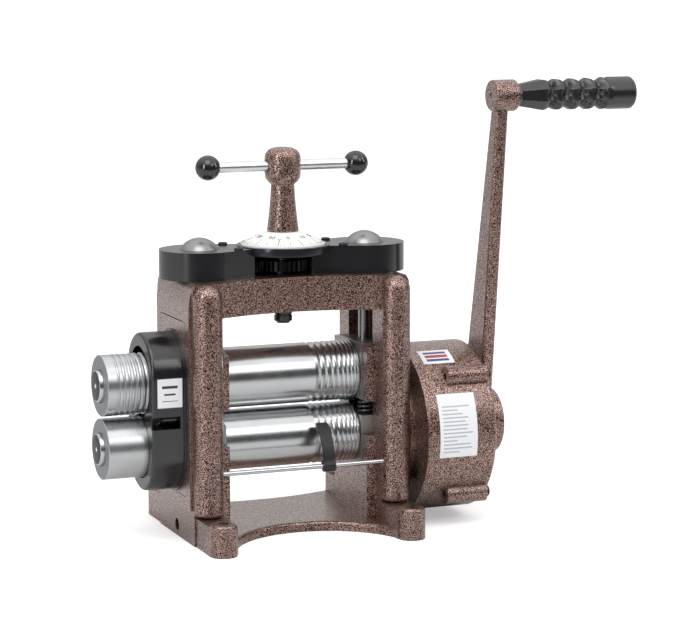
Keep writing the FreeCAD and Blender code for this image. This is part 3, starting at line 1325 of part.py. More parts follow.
def gearbox_labels():
    """Two blank stickers that follow the drum."""
    axis = (0, d.lower_axis)
    inner = d.box_radius + d.sticker_gap
    plate_left = box_left + d.box_sticker_inset
    flag_left = box_left + d.flag_sticker_inset
    outer = inner + d.sticker_thick
    for name, x, y, z in (
            ("gearbox_plate_label",
             (plate_left, plate_left + d.box_sticker_width),
             (-outer, -d.box_radius / 2),
             (d.lower_axis - d.box_sticker_drop, d.lower_axis + d.box_sticker_rise)),
            ("gearbox_flag_label",
             (flag_left, flag_left + d.flag_sticker_width),
             (d.flag_sticker_front, d.flag_sticker_back), (d.lower_axis, d.lower_axis + 2 * d.box_radius))):
        sleeve = cut(name + "_sleeve", rod(name + "_outer", outer, x, axis),
                     rod(name + "_inner", inner, (x[0] - SEAM, x[1] + SEAM), axis))
        patch = doc.addObject("Part::Common", name + "_patch")
        patch.Base = sleeve
        patch.Tool = box(name + "_window", x, y, z)
        finish(patch, name)


# ---- crank --------------------------------------------------------------------------------------------

def crank():
    """Hub, tapered arm and eye in one casting, leaning to the front at rest."""
    lean = math.radians(float(d.crank_lean))
    across, up = -math.sin(lean), math.cos(lean)
    eye_y, eye_z = across * d.crank_length, d.lower_axis + up * d.crank_length
    axis = (0, d.lower_axis)
    hub = rounded("hub_eased", rod("hub_blank", d.hub_radius, (hub_left, hub_right), axis), d.hub_round,
                  lambda edge, middle: is_circle(edge))
    eye = rounded("eye_eased", rod("eye_blank", d.eye_radius, (eye_left, eye_right), (eye_y, eye_z)),
                  d.eye_round,
                  lambda edge, middle: is_circle(edge))
    blade = plate("arm_blade", [(-d.arm_foot_half, 0), (d.arm_foot_half, 0),
                                (d.arm_top_half, d.crank_length),
                                (-d.arm_top_half, d.crank_length)], (arm_left, arm_left + d.arm_thick))
    blade.Placement = FreeCAD.Placement(
        FreeCAD.Vector(), FreeCAD.Rotation(FreeCAD.Vector(1, 0, 0), float(d.crank_lean)) * AXES["X"])
    place(blade, arm_left, 0, d.lower_axis)
    long_edges = float(d.crank_length) * 0.9
    arm = rounded("arm_eased", blade, d.arm_round, lambda edge, middle: edge.Length > long_edges)
    tools = [rod("hub_bore", d.crank_shaft, (hub_left - SEAM, hub_right + SEAM), axis),
             rod("eye_bore", d.grip_pin, (eye_left + d.eye_round, eye_right + SEAM), (eye_y, eye_z)),
             ball("eye_dimple", d.cap_dimple, eye_left, eye_y, eye_z)]
    finish(cut("crank_cut", fuse("crank_cast", hub, arm, eye), *tools), "crank_arm")
    finish(cut("crank_nut_turned",
               rod("crank_nut_blank", d.crank_nut_radius, (hub_right, hub_right + d.crank_nut_thick), axis),
               rod("crank_nut_hole", d.crank_shaft,
                   (hub_right - SEAM, hub_right + d.crank_nut_thick + SEAM), axis)),
           "crank_nut")
    grip_parts(eye_y, eye_z)


def grip_parts(y, z):
    right = grip_left + d.grip_length
    finish(fuse("grip_pin_form",
                rod("grip_pin_shaft", d.grip_pin,
                    (eye_left + d.eye_round, right - d.grip_end_wall - d.block_gap), (y, z)),
                rod("grip_collar", d.collar_radius, (eye_right, eye_right + d.collar_thick), (y, z))),
           "grip_spindle")
    bore = d.grip_pin + d.running
    closed = d.grip_length - d.grip_end_wall
    stations = [(0, bore), (0, d.grip_start), (d.grip_cone, d.grip_swell)]
    for n in range(int(d.grip_swells)):
        start = d.grip_cone + n * d.grip_pitch
        stations += [(start + d.grip_pitch * 0.35, d.grip_waist),
                     (start + d.grip_pitch * 0.65, d.grip_swell),
                     (start + d.grip_pitch, d.grip_swell)]
    stations += [(d.grip_length - d.grip_chamfer, d.grip_swell),
                 (d.grip_length, d.grip_swell - d.grip_chamfer),
                 (d.grip_length, 0), (closed, 0), (closed, bore)]
    finish(turned("grip_turned", stations, (grip_left, y, z)), "grip")


# ---- wire guide ---------------------------------------------------------------------------------------

def wire_guide():
    rod_centre = (rod_y, rod_rise)
    reach = wall_in + d.rod_sink - d.block_gap
    finish(rod("guide_rod_form", d.rod_radius, (-reach, reach), rod_centre), "guide_rod")
    x = (groove_middle - d.guide_half, groove_middle + d.guide_half)
    wide_x = (x[0] - SEAM, x[1] + SEAM)
    loop = rod("guide_loop_form", d.guide_loop, x, rod_centre)
    top_y, top_z = rod_y + d.guide_reach, rod_rise + d.guide_rise
    bow = (d.guide_reach * d.guide_reach + d.guide_rise * d.guide_rise) / (2 * d.guide_reach)
    middle = (rod_y - d.guide_loop + d.guide_thick + bow, rod_rise)
    ring = cut("guide_arc", rod("guide_arc_outer", bow, x, middle),
               rod("guide_arc_inner", bow - d.guide_thick, wide_x, middle))
    blade = doc.addObject("Part::Common", "guide_blade")
    blade.Base = ring
    blade.Tool = box("guide_blade_zone", wide_x, (rod_y - 2 * d.guide_loop, top_y), (rod_rise, top_z))
    hole = rod("guide_hole", d.rod_radius + d.running, wide_x, rod_centre)
    finish(cut("guide_form", fuse("guide_joined", loop, blade), hole), "wire_guide")


# ---- build, check and write ---------------------------------------------------------------------------

def build():
    frame()
    window_plates()
    bearing_blocks()
    bushes("lower_bushes", d.lower_axis)
    bushes("upper_bushes", upper_axis)
    carriage_springs()
    rolls()
    gear_cover()
    gear_cover_screws()
    gear_cover_label()
    head_cover()
    head_screws()
    dial_ring()
    dial()
    adjusting_gears()
    idler_pins()
    screw_nuts()
    adjusting_screws()
    handle()
    gearbox_body()
    gearbox_cover()
    gearbox_screws()
    planetary_gears()
    planet_carrier()
    sun_shaft()
    gearbox_labels()
    crank()
    wire_guide()


def check():
    for obj in doc.Objects:
        if "Invalid" in obj.State or "Error" in obj.State:
            raise RuntimeError(f"{obj.Name} failed: {obj.State}")
    for part in parts:
        if part.Shape.isNull() or not part.Shape.isValid():
            raise RuntimeError(f"{part.Label} has no valid shape")


build()
doc.recompute()
check()
os.makedirs("parts", exist_ok=True)
for part in parts:
    part.Shape.exportStep(f"parts/{part.Label}.step")
    print(f"{part.Label}: {len(part.Shape.Solids)} solid(s), {part.Shape.Volume:.0f} mm3")
print(len(parts), "sub-parts")
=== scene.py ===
import math
from contextlib import contextmanager

import bpy
from bpy.props import FloatProperty, FloatVectorProperty, IntProperty, PointerProperty
from mathutils import Matrix, Vector


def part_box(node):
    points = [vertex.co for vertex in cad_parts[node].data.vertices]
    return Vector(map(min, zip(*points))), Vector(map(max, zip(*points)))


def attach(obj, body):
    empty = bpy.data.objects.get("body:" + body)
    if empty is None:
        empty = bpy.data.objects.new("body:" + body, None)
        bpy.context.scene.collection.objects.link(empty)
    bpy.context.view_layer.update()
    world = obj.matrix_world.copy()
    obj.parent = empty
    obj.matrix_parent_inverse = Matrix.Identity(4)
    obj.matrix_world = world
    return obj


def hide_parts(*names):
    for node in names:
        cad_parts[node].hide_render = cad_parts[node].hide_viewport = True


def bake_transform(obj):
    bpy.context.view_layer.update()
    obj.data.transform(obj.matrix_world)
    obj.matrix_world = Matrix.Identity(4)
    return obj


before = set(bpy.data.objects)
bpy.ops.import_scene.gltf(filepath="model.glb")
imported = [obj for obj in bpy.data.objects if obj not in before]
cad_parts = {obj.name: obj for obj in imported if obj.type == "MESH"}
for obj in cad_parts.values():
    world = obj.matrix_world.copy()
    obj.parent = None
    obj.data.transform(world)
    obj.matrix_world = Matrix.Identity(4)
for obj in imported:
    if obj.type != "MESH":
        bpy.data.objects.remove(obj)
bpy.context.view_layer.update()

bl_info = {
    "name": "Jewellers Rolling Mill",
    "version": (1, 0, 0),
    "blender": (4, 5, 0),
    "location": "View3D > Sidebar > Rolling Mill",
    "description": "Dresses the solids of a hand-cranked rolling mill",
    "category": "Add Mesh",
}

X_AXIS, Z_AXIS = Vector((1, 0, 0)), Vector((0, 0, 1))
MERGE = 2e-6            # corners nearer than this are one
TURN_STEPS = 96         # facets round a turned piece
PLANE_ANGLE = math.radians(1.0)     # faces that meet flatter than this are one face
FINISH = "_finish"      # ends the name of every material
GLOSS = "Specular IOR Level"
NOISE_LOW, NOISE_HIGH = 0.3, 0.7        # most of a noise lies between these

CASE_HALF, CASE_LIP = 0.038, 0.0018     # half the gear case's width; its box past the round ends
DRUM_RADIUS = 0.078                     # of the gearbox
STICKER_LIFT, STICKER_THICK = 0.0002, 0.00022
DIAL_NECK, DIAL_RISE = 0.015, 0.0101    # upper radius and height of the dial's cone


# ---- sizes and colours ----

def a_length(name, description, default, least=0.0):
    """A length that a user may change."""
    return FloatProperty(name=name, description=description, default=default, min=least, unit="LENGTH")


def a_count(name, description, default, least=0):
    """A number of like forms that a user may change."""
    return IntProperty(name=name, description=description, default=default, min=least)


def a_colour(name, description, default):
    """A linear colour that a user may change."""
    return FloatVectorProperty(name=name, description=description, default=default, subtype="COLOR", size=3,
                               min=0, max=1)


class MillSizes(bpy.types.PropertyGroup):
    """Sizes that the solids leave to the dressing."""

    casting_edge: a_length("Casting edge", "Rounding of the painted castings' edges", 0.0014)
    lid_edge: a_length("Window lid edge", "Rounding of the window lids' edges", 0.0005)
    cover_edge: a_length("Cover edge", "Rounding of the black covers' edges", 0.0012)
    wall_round_in: a_length("Wall rounding inwards", "How far the walls' rounded tops lean in", 0.0074)
    wall_round_down: a_length("Wall rounding downwards", "Height of the walls' rounded tops", 0.027)
    hammer_cell: a_length("Hammer cell", "Size of one fleck in the hammered paint", 0.00078, 0.0003)
    hammer_relief: a_length("Hammer relief", "Height of the flecks over the dark ground", 0.0003)
    groove_first: a_length("First wire groove", "Middle of the widest groove from the rolls' middle", 0.024)
    groove_pitch: a_length("Groove spacing", "Spacing of the first two wire grooves", 0.0065)
    groove_step: a_length("Groove step", "How much each next spacing is smaller", 0.0005)
    groove_land: a_length("Groove land", "Flat between two wire grooves", 0.0012)
    groove_count: a_count("Wire grooves", "Number of wire grooves on a roll", 9)
    half_round_first: a_length("First half round", "Its middle from the extension roll's outer face", 0.0104)
    half_round_pitch: a_length("Half-round spacing", "Spacing of the half-round grooves", 0.00515)
    half_round_small: a_length("Smallest half round", "Radius of the smallest half-round groove", 0.0012)
    half_round_step: a_length("Half-round step", "How much each next half-round groove is larger", 0.0002)
    half_round_count: a_count("Half-round grooves", "Number of half-round grooves", 6)
    spring_coil: a_length("Spring coil", "Coil radius of a carriage spring", 0.0062)
    spring_wire: a_length("Spring wire", "Radius of the spring wire", 0.0013)
    spring_turns: a_count("Spring turns", "Turns of a carriage spring", 3, 1)
    thread_pitch: a_length("Thread pitch", "Spacing of the adjusting screws' thread", 0.002, 0.0005)
    dial_divisions: a_count("Dial divisions", "Short marks round the dial", 100, 10)
    grip_sides: a_count("Grip sides", "Sides of the moulded grip", 8, 6)


class MillColours(bpy.types.PropertyGroup):
    """Colours of the mill's finishes, linear."""

    hammer_light: a_colour("Hammered flecks", "Copper flakes of the hammered paint", (0.55, 0.355, 0.295))
    hammer_dark: a_colour("Hammered ground", "Dark ground between the flecks", (0.028, 0.0085, 0.007))
    cover_black: a_colour("Cover black", "Satin black of the covers", (0.009, 0.0095, 0.0115))
    roll_steel: a_colour("Roll steel", "Ground and polished roll steel", (0.60, 0.61, 0.62))
    faced_steel: a_colour("Faced steel", "Turned end faces of the extension rolls", (0.27, 0.275, 0.285))
    turned_steel: a_colour("Turned steel", "Turned steel of screws and bars", (0.52, 0.52, 0.52))
    burnished: a_colour("Burnished steel", "Darkened steel of caps and nuts", (0.13, 0.13, 0.135))
    block_iron: a_colour("Block iron", "Machined iron of the bearing blocks", (0.36, 0.36, 0.35))
    bronze: a_colour("Bronze", "Bushes and nuts", (0.55, 0.33, 0.14))
    moulding: a_colour("Moulding black", "Glossy black of the grip and the balls", (0.013, 0.013, 0.014))
    dial_white: a_colour("Dial white", "Ground of the dial", (0.93, 0.93, 0.91))
    ink: a_colour("Ink", "Marks of the dial and the framed sticker", (0.05, 0.055, 0.07))
    rule_ink: a_colour("Rule ink", "Rules of the gearbox's sticker", (0.42, 0.46, 0.50))
    band_red: a_colour("Band red", "Red bands of the upper sticker", (0.52, 0.06, 0.07))
    band_blue: a_colour("Band blue", "Blue bands of the upper sticker", (0.06, 0.09, 0.30))
    sticker_white: a_colour("Sticker white", "Ground of the stickers", (0.86, 0.87, 0.89))
    guide_grey: a_colour("Guide grey", "Dull grey metal of the wire guide", (0.035, 0.035, 0.037))
    gear_black: a_colour("Gear black", "Blackened adjusting gears", (0.02, 0.02, 0.021))
    screw_black: a_colour("Screw black", "Blackened screws", (0.02, 0.02, 0.022))


def sizes():
    return bpy.context.scene.mill_sizes


def colours():
    return bpy.context.scene.mill_colours


# ---- modelling helpers ----

def clear_selection():
    bpy.ops.object.select_all(action="DESELECT")


def only(piece):
    """Select one piece and make it active."""
    clear_selection()
    piece.select_set(True)
    bpy.context.view_layer.objects.active = piece
    return piece


@contextmanager
def editing(piece):
    """Edit mode on one piece, with all its corners selected."""
    only(piece)
    bpy.ops.object.mode_set(mode="EDIT")
    bpy.ops.mesh.select_all(action="SELECT")
    yield
    bpy.ops.object.mode_set(mode="OBJECT")


def named(name):
    """The active piece under a name."""
    piece = bpy.context.active_object
    piece.name = name
    piece.data.name = name
    return piece


def primitive(kind, name, scale=(1, 1, 1), **settings):
    """A primitive under a name, with its place and scale in its mesh."""
    clear_selection()
    getattr(bpy.ops.mesh, f"primitive_{kind}_add")(**settings)
    piece = named(name)
    piece.scale = scale
    bpy.ops.object.transform_apply(location=True, rotation=True, scale=True)
    return piece


def tidy_mesh(piece, flatten=False):
    """Merge doubles, point the faces outwards and, if asked, join faces that lie in one plane."""
    with editing(piece):
        bpy.ops.mesh.remove_doubles(threshold=MERGE)
        if flatten:
            bpy.ops.mesh.dissolve_limited(angle_limit=PLANE_ANGLE)
        bpy.ops.mesh.normals_make_consistent(inside=False)
    return piece


def cast_from(node, name):
    """A piece of its own with a CAD node's form, its triangles joined into plain faces."""
    piece = bpy.data.objects.new(name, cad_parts[node].data.copy())
    piece.data.name = name
    piece.data.materials.clear()
    bpy.context.scene.collection.objects.link(piece)
    only(piece)
    if piece.data.has_custom_normals:
        bpy.ops.mesh.customdata_custom_splitnormals_clear()
    return tidy_mesh(piece, flatten=True)


def modified(piece, kind, **settings):
    """Put a modifier on a piece and apply it."""
    only(piece)
    modifier = piece.modifiers.new(kind.lower(), kind)
    for name, value in settings.items():
        setattr(modifier, name, value)
    bpy.ops.object.modifier_apply(modifier=modifier.name)
    return piece


def removed(piece):
    """Delete a piece and its mesh."""
    mesh = piece.data
    bpy.data.objects.remove(piece)
    bpy.data.meshes.remove(mesh)


def boolean(piece, tool, operation="DIFFERENCE"):
    """Cut a tool's form out of a piece, or join it on, and remove the tool."""
    modified(piece, "BOOLEAN", object=tool, operation=operation, solver="EXACT")
    removed(tool)
    return piece


def smoothed(piece, angle=35.0):
    """Shade a piece smooth, but for edges sharper than an angle in degrees."""
    only(piece)
    bpy.ops.object.shade_smooth_by_angle(angle=math.radians(angle))
    return piece


def eased(piece, width, angle=32.0):
    """Round the edges that are sharper than an angle in degrees, and shade the piece smooth."""
    modified(piece, "BEVEL", width=width, segments=2, limit_method="ANGLE", angle_limit=math.radians(angle),
             loop_slide=False)
    smoothed(piece, 40)
    return modified(piece, "WEIGHTED_NORMAL", keep_sharp=True)


def turned(name, stations, centre, axis=X_AXIS, steps=TURN_STEPS):
    """A body of revolution; stations are (place along the axis, radius), from one end to the other."""
    across = Z_AXIS if axis == X_AXIS else X_AXIS
    origin = centre - axis * centre.dot(axis)
    spots = [origin + axis * along + across * radius for along, radius in stations]
    piece = primitive("plane", name, size=0.01)
    with editing(piece):
        bpy.ops.mesh.merge(type="CENTER")
        bpy.ops.transform.translate(value=spots[0])
        for before, after in zip(spots, spots[1:]):
            bpy.ops.mesh.extrude_vertices_move(TRANSFORM_OT_translate={"value": after - before})
        bpy.ops.mesh.select_all(action="SELECT")
        bpy.ops.mesh.spin(steps=steps, angle=2 * math.pi, center=origin, axis=axis)
    return tidy_mesh(piece)


def capped(stations):
    """Stations closed by a point on the axis at each end."""
    return [(stations[0][0], 0), *stations, (stations[-1][0], 0)]


def rod_stations(left, right, radius, chamfer):
    """A plain rod with a chamfer at each end."""
    return capped([(left, radius - chamfer), (left + chamfer, radius), (right - chamfer, radius),
                   (right, radius - chamfer)])


def axis_of(node):
    """The middle of a node's box."""
    low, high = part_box(node)
    return (low + high) / 2


def radius_of(node):
    """Half the height of a node's box."""
    low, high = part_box(node)
    return (high.z - low.z) / 2


def part_way(first, last, share):
    return first + (last - first) * share


def joined(name, pieces):
    """Several meshes as one piece."""
    clear_selection()
    for piece in pieces:
        piece.select_set(True)
    bpy.context.view_layer.objects.active = pieces[0]
    bpy.ops.object.join()
    return named(name)


def copied(piece, matrix):
    """A copy of a piece with its own mesh, moved by a matrix."""
    twin = piece.copy()
    twin.data = piece.data.copy()
    twin.data.transform(matrix)
    bpy.context.scene.collection.objects.link(twin)
    return twin


def dressed(piece, body, material, slot, *nodes):
    """Give a finished piece its material and its body, and hide the nodes it stands for; the slot is not
    used.
    """
    piece.data.materials.clear()
    piece.data.materials.append(material)
    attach(piece, body)
    if nodes:
        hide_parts(*nodes)
    return piece


def lathed(name, stations, centre, body, cad_node, slot="turned_steel", axis=X_AXIS, steps=TURN_STEPS,
           angle=30.0, finish=None, **look):
    """Turn a steel piece, give it its own steel and set it in a CAD node's place."""
    piece = smoothed(turned(name, stations, centre, axis, steps), angle)
    material = lathe_finish(finish or f"{name}_steel", centre, axis, **look)
    return dressed(piece, body, material, slot, cad_node)


# ---- material helpers ----

def node(tree, kind, inputs=None, **settings):
    """A shader node with its settings, and its inputs given as values or as another node's socket."""
    made = tree.nodes.new("ShaderNode" + kind)
    for name, value in settings.items():
        setattr(made, name, value)
    for name, value in (inputs or {}).items():
        socket = made.inputs[name]
        if isinstance(value, bpy.types.NodeSocket):
            tree.links.new(value, socket)
        else:
            socket.default_value = value
    return made


def maths(tree, operation, first, second=0.0):
    return node(tree, "Math", {0: first, 1: second}, operation=operation).outputs[0]


def product(tree, *values):
    result = values[0]
    for value in values[1:]:
        result = maths(tree, "MULTIPLY", result, value)
    return result


def between(tree, value, low, high):
    """One where a value lies between two limits, else zero."""
    return product(tree, maths(tree, "GREATER_THAN", value, low), maths(tree, "LESS_THAN", value, high))


def mapped(tree, value, low, high, to_low=0.0, to_high=1.0, kind="LINEAR"):
    """A value between two limits, mapped onto the range between two others."""
    return node(tree, "MapRange", {"Value": value, "From Min": low, "From Max": high, "To Min": to_low,
                                   "To Max": to_high}, interpolation_type=kind).outputs[0]


def noise(tree, place, scale, detail):
    return node(tree, "TexNoise", {"Vector": place, "Scale": scale, "Detail": detail}).outputs["Fac"]


def bump(tree, height, distance, strength):
    return node(tree, "Bump", {"Height": height, "Distance": distance, "Strength": strength}).outputs[0]


def mixed_colour(tree, share, first, second):
    return node(tree, "Mix", {0: share, 6: first, 7: second}, data_type="RGBA").outputs[2]


def ramp(tree, value, stops, kind="LINEAR"):
    """A colour ramp; stops are (position, colour)."""
    made = node(tree, "ValToRGB", {"Fac": value})
    made.color_ramp.interpolation = kind
    elements = made.color_ramp.elements
    while len(elements) < len(stops):
        elements.new(0.5)
    for element, (position, colour) in zip(elements, stops):
        element.position = position
        element.color = (*colour, 1.0)
    return made.outputs["Color"]


def scaled(colour, factor):
    return tuple(min(1.0, channel * factor) for channel in colour)


def new_tree(owner, output):
    """An empty node tree of a material or a world, with the input that shows."""
    owner.use_nodes = True
    tree = owner.node_tree
    tree.nodes.clear()
    return tree, node(tree, output).inputs["Surface"]


def new_material(name, **constants):
    """A material and its shader, with the constant inputs set on the shader itself."""
    made = bpy.data.materials.new(name + FINISH)
    tree, surface = new_tree(made, "OutputMaterial")
    shader = node(tree, "BsdfPrincipled", constants)
    tree.links.new(shader.outputs[0], surface)
    return made, tree, shader


def connect(tree, shader, sockets):
    """Feed a shader's inputs from other nodes."""
    for name, value in sockets.items():
        tree.links.new(value, shader.inputs[name])


def coordinate(tree, kind):
    """One of the texture coordinates."""
    return node(tree, "TexCoord").outputs[kind]


def parts_of(tree, vector):
    return node(tree, "SeparateXYZ", {0: vector}).outputs


def place_of(tree, scale=(1, 1, 1)):
    """A spot on the piece, stretched by a scale."""
    return node(tree, "Mapping", {"Vector": coordinate(tree, "Object"), "Scale": scale}).outputs[0]


def lathe_place(tree, centre, axis):
    """One number that grows along a turned piece's profile, as the tool moved over it."""
    moved = node(tree, "VectorMath", {0: coordinate(tree, "Object"), 1: tuple(centre)}, operation="SUBTRACT")
    x, y, z = parts_of(tree, moved.outputs[0])
    along, first, second = (x, y, z) if axis == X_AXIS else (z, x, y)
    squares = maths(tree, "ADD", product(tree, first, first), product(tree, second, second))
    return maths(tree, "ADD", along, maths(tree, "SQRT", squares))


# ---- finishes ----

def plain_finish(name, colour, roughness, tone=0.10, spread=0.06, grain=420.0, relief=0.00002,
                 stretch=(1, 1, 1), **constants):
    """A finish whose tone and gloss vary a little, with a fine relief."""
    fine_share, broad_grain, bump_strength = 0.6, 34.0, 0.5
    made, tree, shader = new_material(name, **constants)
    cloud = noise(tree, place_of(tree, stretch), grain, 4.0)
    broad = noise(tree, place_of(tree), broad_grain, 2.0)
    level = maths(tree, "ADD", product(tree, cloud, fine_share), product(tree, broad, 1 - fine_share))
    stops = [(NOISE_LOW, scaled(colour, 1 - tone)), (NOISE_HIGH, scaled(colour, 1 + tone))]
    connect(tree, shader, {
        "Base Color": ramp(tree, level, stops),
        "Roughness": mapped(tree, level, NOISE_LOW, NOISE_HIGH, roughness - spread, roughness + spread),
        "Normal": bump(tree, cloud, relief, bump_strength)})
    return made


def lathe_finish(name, centre, axis=X_AXIS, colour=None, roughness=0.16, spread=0.05, relief=0.000004,
                 lines=2600.0, face=None):
    """Steel with the fine marks of the lathe or the grinder round its axis.

    A face is (place on the axis, colour, roughness): the end face before that place has its own look.
    """
    mark_share, haze_grain, dark_at, darkest, light_at, lightest = 0.55, 60.0, 0.32, 0.9, 0.68, 1.05
    made, tree, shader = new_material(name, Metallic=1.0)
    colour = tuple(colour or colours().roll_steel)
    marks = node(tree, "TexNoise", {"W": lathe_place(tree, centre, axis), "Scale": lines, "Detail": 3.0,
                                    "Roughness": 0.7}, noise_dimensions="1D").outputs["Fac"]
    haze = noise(tree, place_of(tree), haze_grain, 3.0)
    level = maths(tree, "ADD", product(tree, marks, mark_share), product(tree, haze, 1 - mark_share))
    tone = ramp(tree, level, [(dark_at, scaled(colour, darkest)), (light_at, scaled(colour, lightest))])
    sheen = mapped(tree, level, NOISE_LOW, NOISE_HIGH, roughness - spread, roughness + spread)
    if face:
        edge, face_colour, face_roughness = face
        on_face = maths(tree, "LESS_THAN", parts_of(tree, coordinate(tree, "Object"))[0], edge)
        tone = mixed_colour(tree, on_face, tone, (*face_colour, 1.0))
        sheen = node(tree, "Mix", {0: on_face, 2: sheen, 3: face_roughness}, data_type="FLOAT").outputs[0]
    connect(tree, shader, {"Base Color": tone, "Roughness": sheen, "Normal": bump(tree, marks, relief, 0.6)})
    return made


def hammered_paint():
    """Copper hammer finish: light, raised flecks of flake on a dark brown ground, under a clear gloss."""
    drift_grain, drift, ground_to, fleck_from, smoothest, roughest = 60.0, 0.08, 0.503, 0.55, 0.27, 0.34
    relief, coat_share = sizes().hammer_relief, 0.5
    made, tree, shader = new_material("hammered_paint", Metallic=0.8, **{
        GLOSS: 0.25, "Coat Weight": 0.8, "Coat Roughness": 0.1})
    spot = place_of(tree)
    flecks = noise(tree, spot, 1 / sizes().hammer_cell, 0.0)
    broad = noise(tree, spot, drift_grain, 2.0)
    level = maths(tree, "ADD", flecks, product(tree, maths(tree, "SUBTRACT", broad, 0.5), drift))
    stops = [(ground_to, tuple(colours().hammer_dark)), (fleck_from, tuple(colours().hammer_light))]
    connect(tree, shader, {
        "Base Color": ramp(tree, level, stops),
        "Roughness": mapped(tree, broad, NOISE_LOW, NOISE_HIGH, smoothest, roughest),
        "Normal": bump(tree, level, relief, 1.0), "Coat Normal": bump(tree, level, relief, coat_share)})
    return made


def painted():
    """The castings' one paint."""
    return bpy.data.materials.get("hammered_paint" + FINISH) or hammered_paint()


def sticker(name, drawn):
    """White sticker paper; drawn(tree, across, up, paper) gives its colour over the piece's UV map."""
    fibre_grain, fibre_shade, smoothest, roughest = 900.0, 0.95, 0.3, 0.5
    made, tree, shader = new_material(name, **{GLOSS: 0.35})
    across, up = parts_of(tree, coordinate(tree, "UV"))[:2]
    fibre = noise(tree, place_of(tree), fibre_grain, 3.0)
    white = tuple(colours().sticker_white)
    paper = ramp(tree, fibre, [(NOISE_LOW, scaled(white, fibre_shade)), (NOISE_HIGH, white)])
    connect(tree, shader, {"Base Color": drawn(tree, across, up, paper),
                           "Roughness": mapped(tree, fibre, 0.0, 1.0, smoothest, roughest)})
    return made


def ruled(tree, across, up, paper):
    """Rules of uneven length that start at one margin."""
    lines, fill, margin, shortest, foot, top = 17, 0.34, 0.09, 0.45, 0.072, 0.82
    rows = product(tree, up, lines)
    chance = node(tree, "TexWhiteNoise", {"W": maths(tree, "FLOOR", rows)}, noise_dimensions="1D")
    reach = mapped(tree, chance.outputs["Value"], 0.0, 1.0, shortest, 1.0 - margin)
    mask = product(tree, between(tree, maths(tree, "FRACT", rows), 0.5 - fill / 2, 0.5 + fill / 2),
                   between(tree, across, margin, reach), between(tree, up, foot, top))
    return mixed_colour(tree, mask, paper, (*colours().rule_ink, 1.0))


def framed(tree, across, up, paper):
    """A thin dark frame and three centred rules."""
    frame_from = 0.475
    rules = ((0.70, 0.045, 0.30), (0.46, 0.03, 0.22), (0.24, 0.012, 0.30))  # middle, half height, half width
    off_side, off_middle = (maths(tree, "ABSOLUTE", maths(tree, "SUBTRACT", place, 0.5))
                            for place in (across, up))
    mask = maths(tree, "GREATER_THAN", maths(tree, "MAXIMUM", off_side, off_middle), frame_from)
    for middle, half_high, half_wide in rules:
        rule = product(tree, between(tree, up, middle - half_high, middle + half_high),
                       maths(tree, "LESS_THAN", off_side, half_wide))
        mask = maths(tree, "MAXIMUM", mask, rule)
    return mixed_colour(tree, mask, paper, (*colours().ink, 1.0))


def banded(tree, across, up, _paper):
    """Two short rows of coloured bands on plain white."""
    margin = 0.14
    tones = colours()
    white, red, blue = tuple(tones.sticker_white), tuple(tones.band_red), tuple(tones.band_blue)
    stops = [(0.0, white), (0.16, blue), (0.32, white), (0.40, red), (0.60, white), (0.68, blue),
             (0.84, white)]
    return mixed_colour(tree, between(tree, across, margin, 1 - margin), (*white, 1.0),
                        ramp(tree, up, stops, "CONSTANT"))


def shared(name):
    """One of the finishes that several pieces have, made when it is first asked for."""
    made = bpy.data.materials.get(name + FINISH)
    if made:
        return made
    tones = colours()
    smooth, moulded = {"relief": 0.00001, "spread": 0.03}, {"relief": 0.00001, "grain": 260.0}
    recipes = {     # colour, roughness and what differs from a plain finish
        "satin_black": (tones.cover_black, 0.2, {"grain": 700.0, GLOSS: 0.85, **smooth}),
        "ring_black": (scaled(tones.cover_black, 4.0), 0.2, {"Metallic": 0.6, "grain": 700.0}),
        "block_iron": (tones.block_iron, 0.42, {"Metallic": 0.9, "stretch": (1, 0.1, 0.1), "grain": 900.0}),
        "burnished_steel": (tones.burnished, 0.34, {"Metallic": 0.85}),
        "gear_steel": (scaled(tones.turned_steel, 0.45), 0.38, {"Metallic": 1.0}),
        "gear_black": (tones.gear_black, 0.36, {"Metallic": 0.5, "grain": 900.0}),
        "spring_steel": (scaled(tones.burnished, 0.8), 0.28, {"Metallic": 0.9}),
        "bronze": (tones.bronze, 0.34, {"Metallic": 1.0, "tone": 0.14}),
        "guide_metal": (tones.guide_grey, 0.45, {"Metallic": 0.55, "grain": 1500.0}),
        "ball_black": (tones.moulding, 0.12, {"spread": 0.03, GLOSS: 0.8, **moulded}),
        "grip_black": (tones.moulding, 0.27, {"spread": 0.04, GLOSS: 0.9, **moulded}),
        "screw_black": (tones.screw_black, 0.3, {"Metallic": 0.3, "grain": 1200.0}),
        "dial_paint": (tones.dial_white, 0.32, {"tone": 0.02, "grain": 300.0, "relief": 0.000005}),
        "dial_ink": (tones.ink, 0.5, {"tone": 0.2}),
    }
    colour, roughness, more = recipes[name]
    return plain_finish(name, tuple(colour), roughness, **more)


# ---- castings and covers ----

def round_wall_tops(casting):
    """Cut the long rounding along the outer top edge of each side wall."""
    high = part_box("frame")[1]
    across, down = sizes().wall_round_in, sizes().wall_round_down
    over, slack = 0.0015, 0.00005       # how far the cutter and its core reach past the faces
    for side in (-1, 1):
        outer = side * high.x
        middle = outer - side * across
        tool = primitive("cube", "rounding_tool", (across + over, 4 * high.y, down + over), size=1.0,
                         location=((middle + outer + side * over) / 2, 0, high.z - (down - over) / 2))
        core = primitive("cylinder", "rounding_core", (across + slack, down, 1.0), vertices=TURN_STEPS,
                         radius=1.0, depth=5 * high.y, location=(middle, 0, high.z - down),
                         rotation=(math.pi / 2, 0, 0))
        boolean(casting, boolean(tool, core))
    return tidy_mesh(casting)


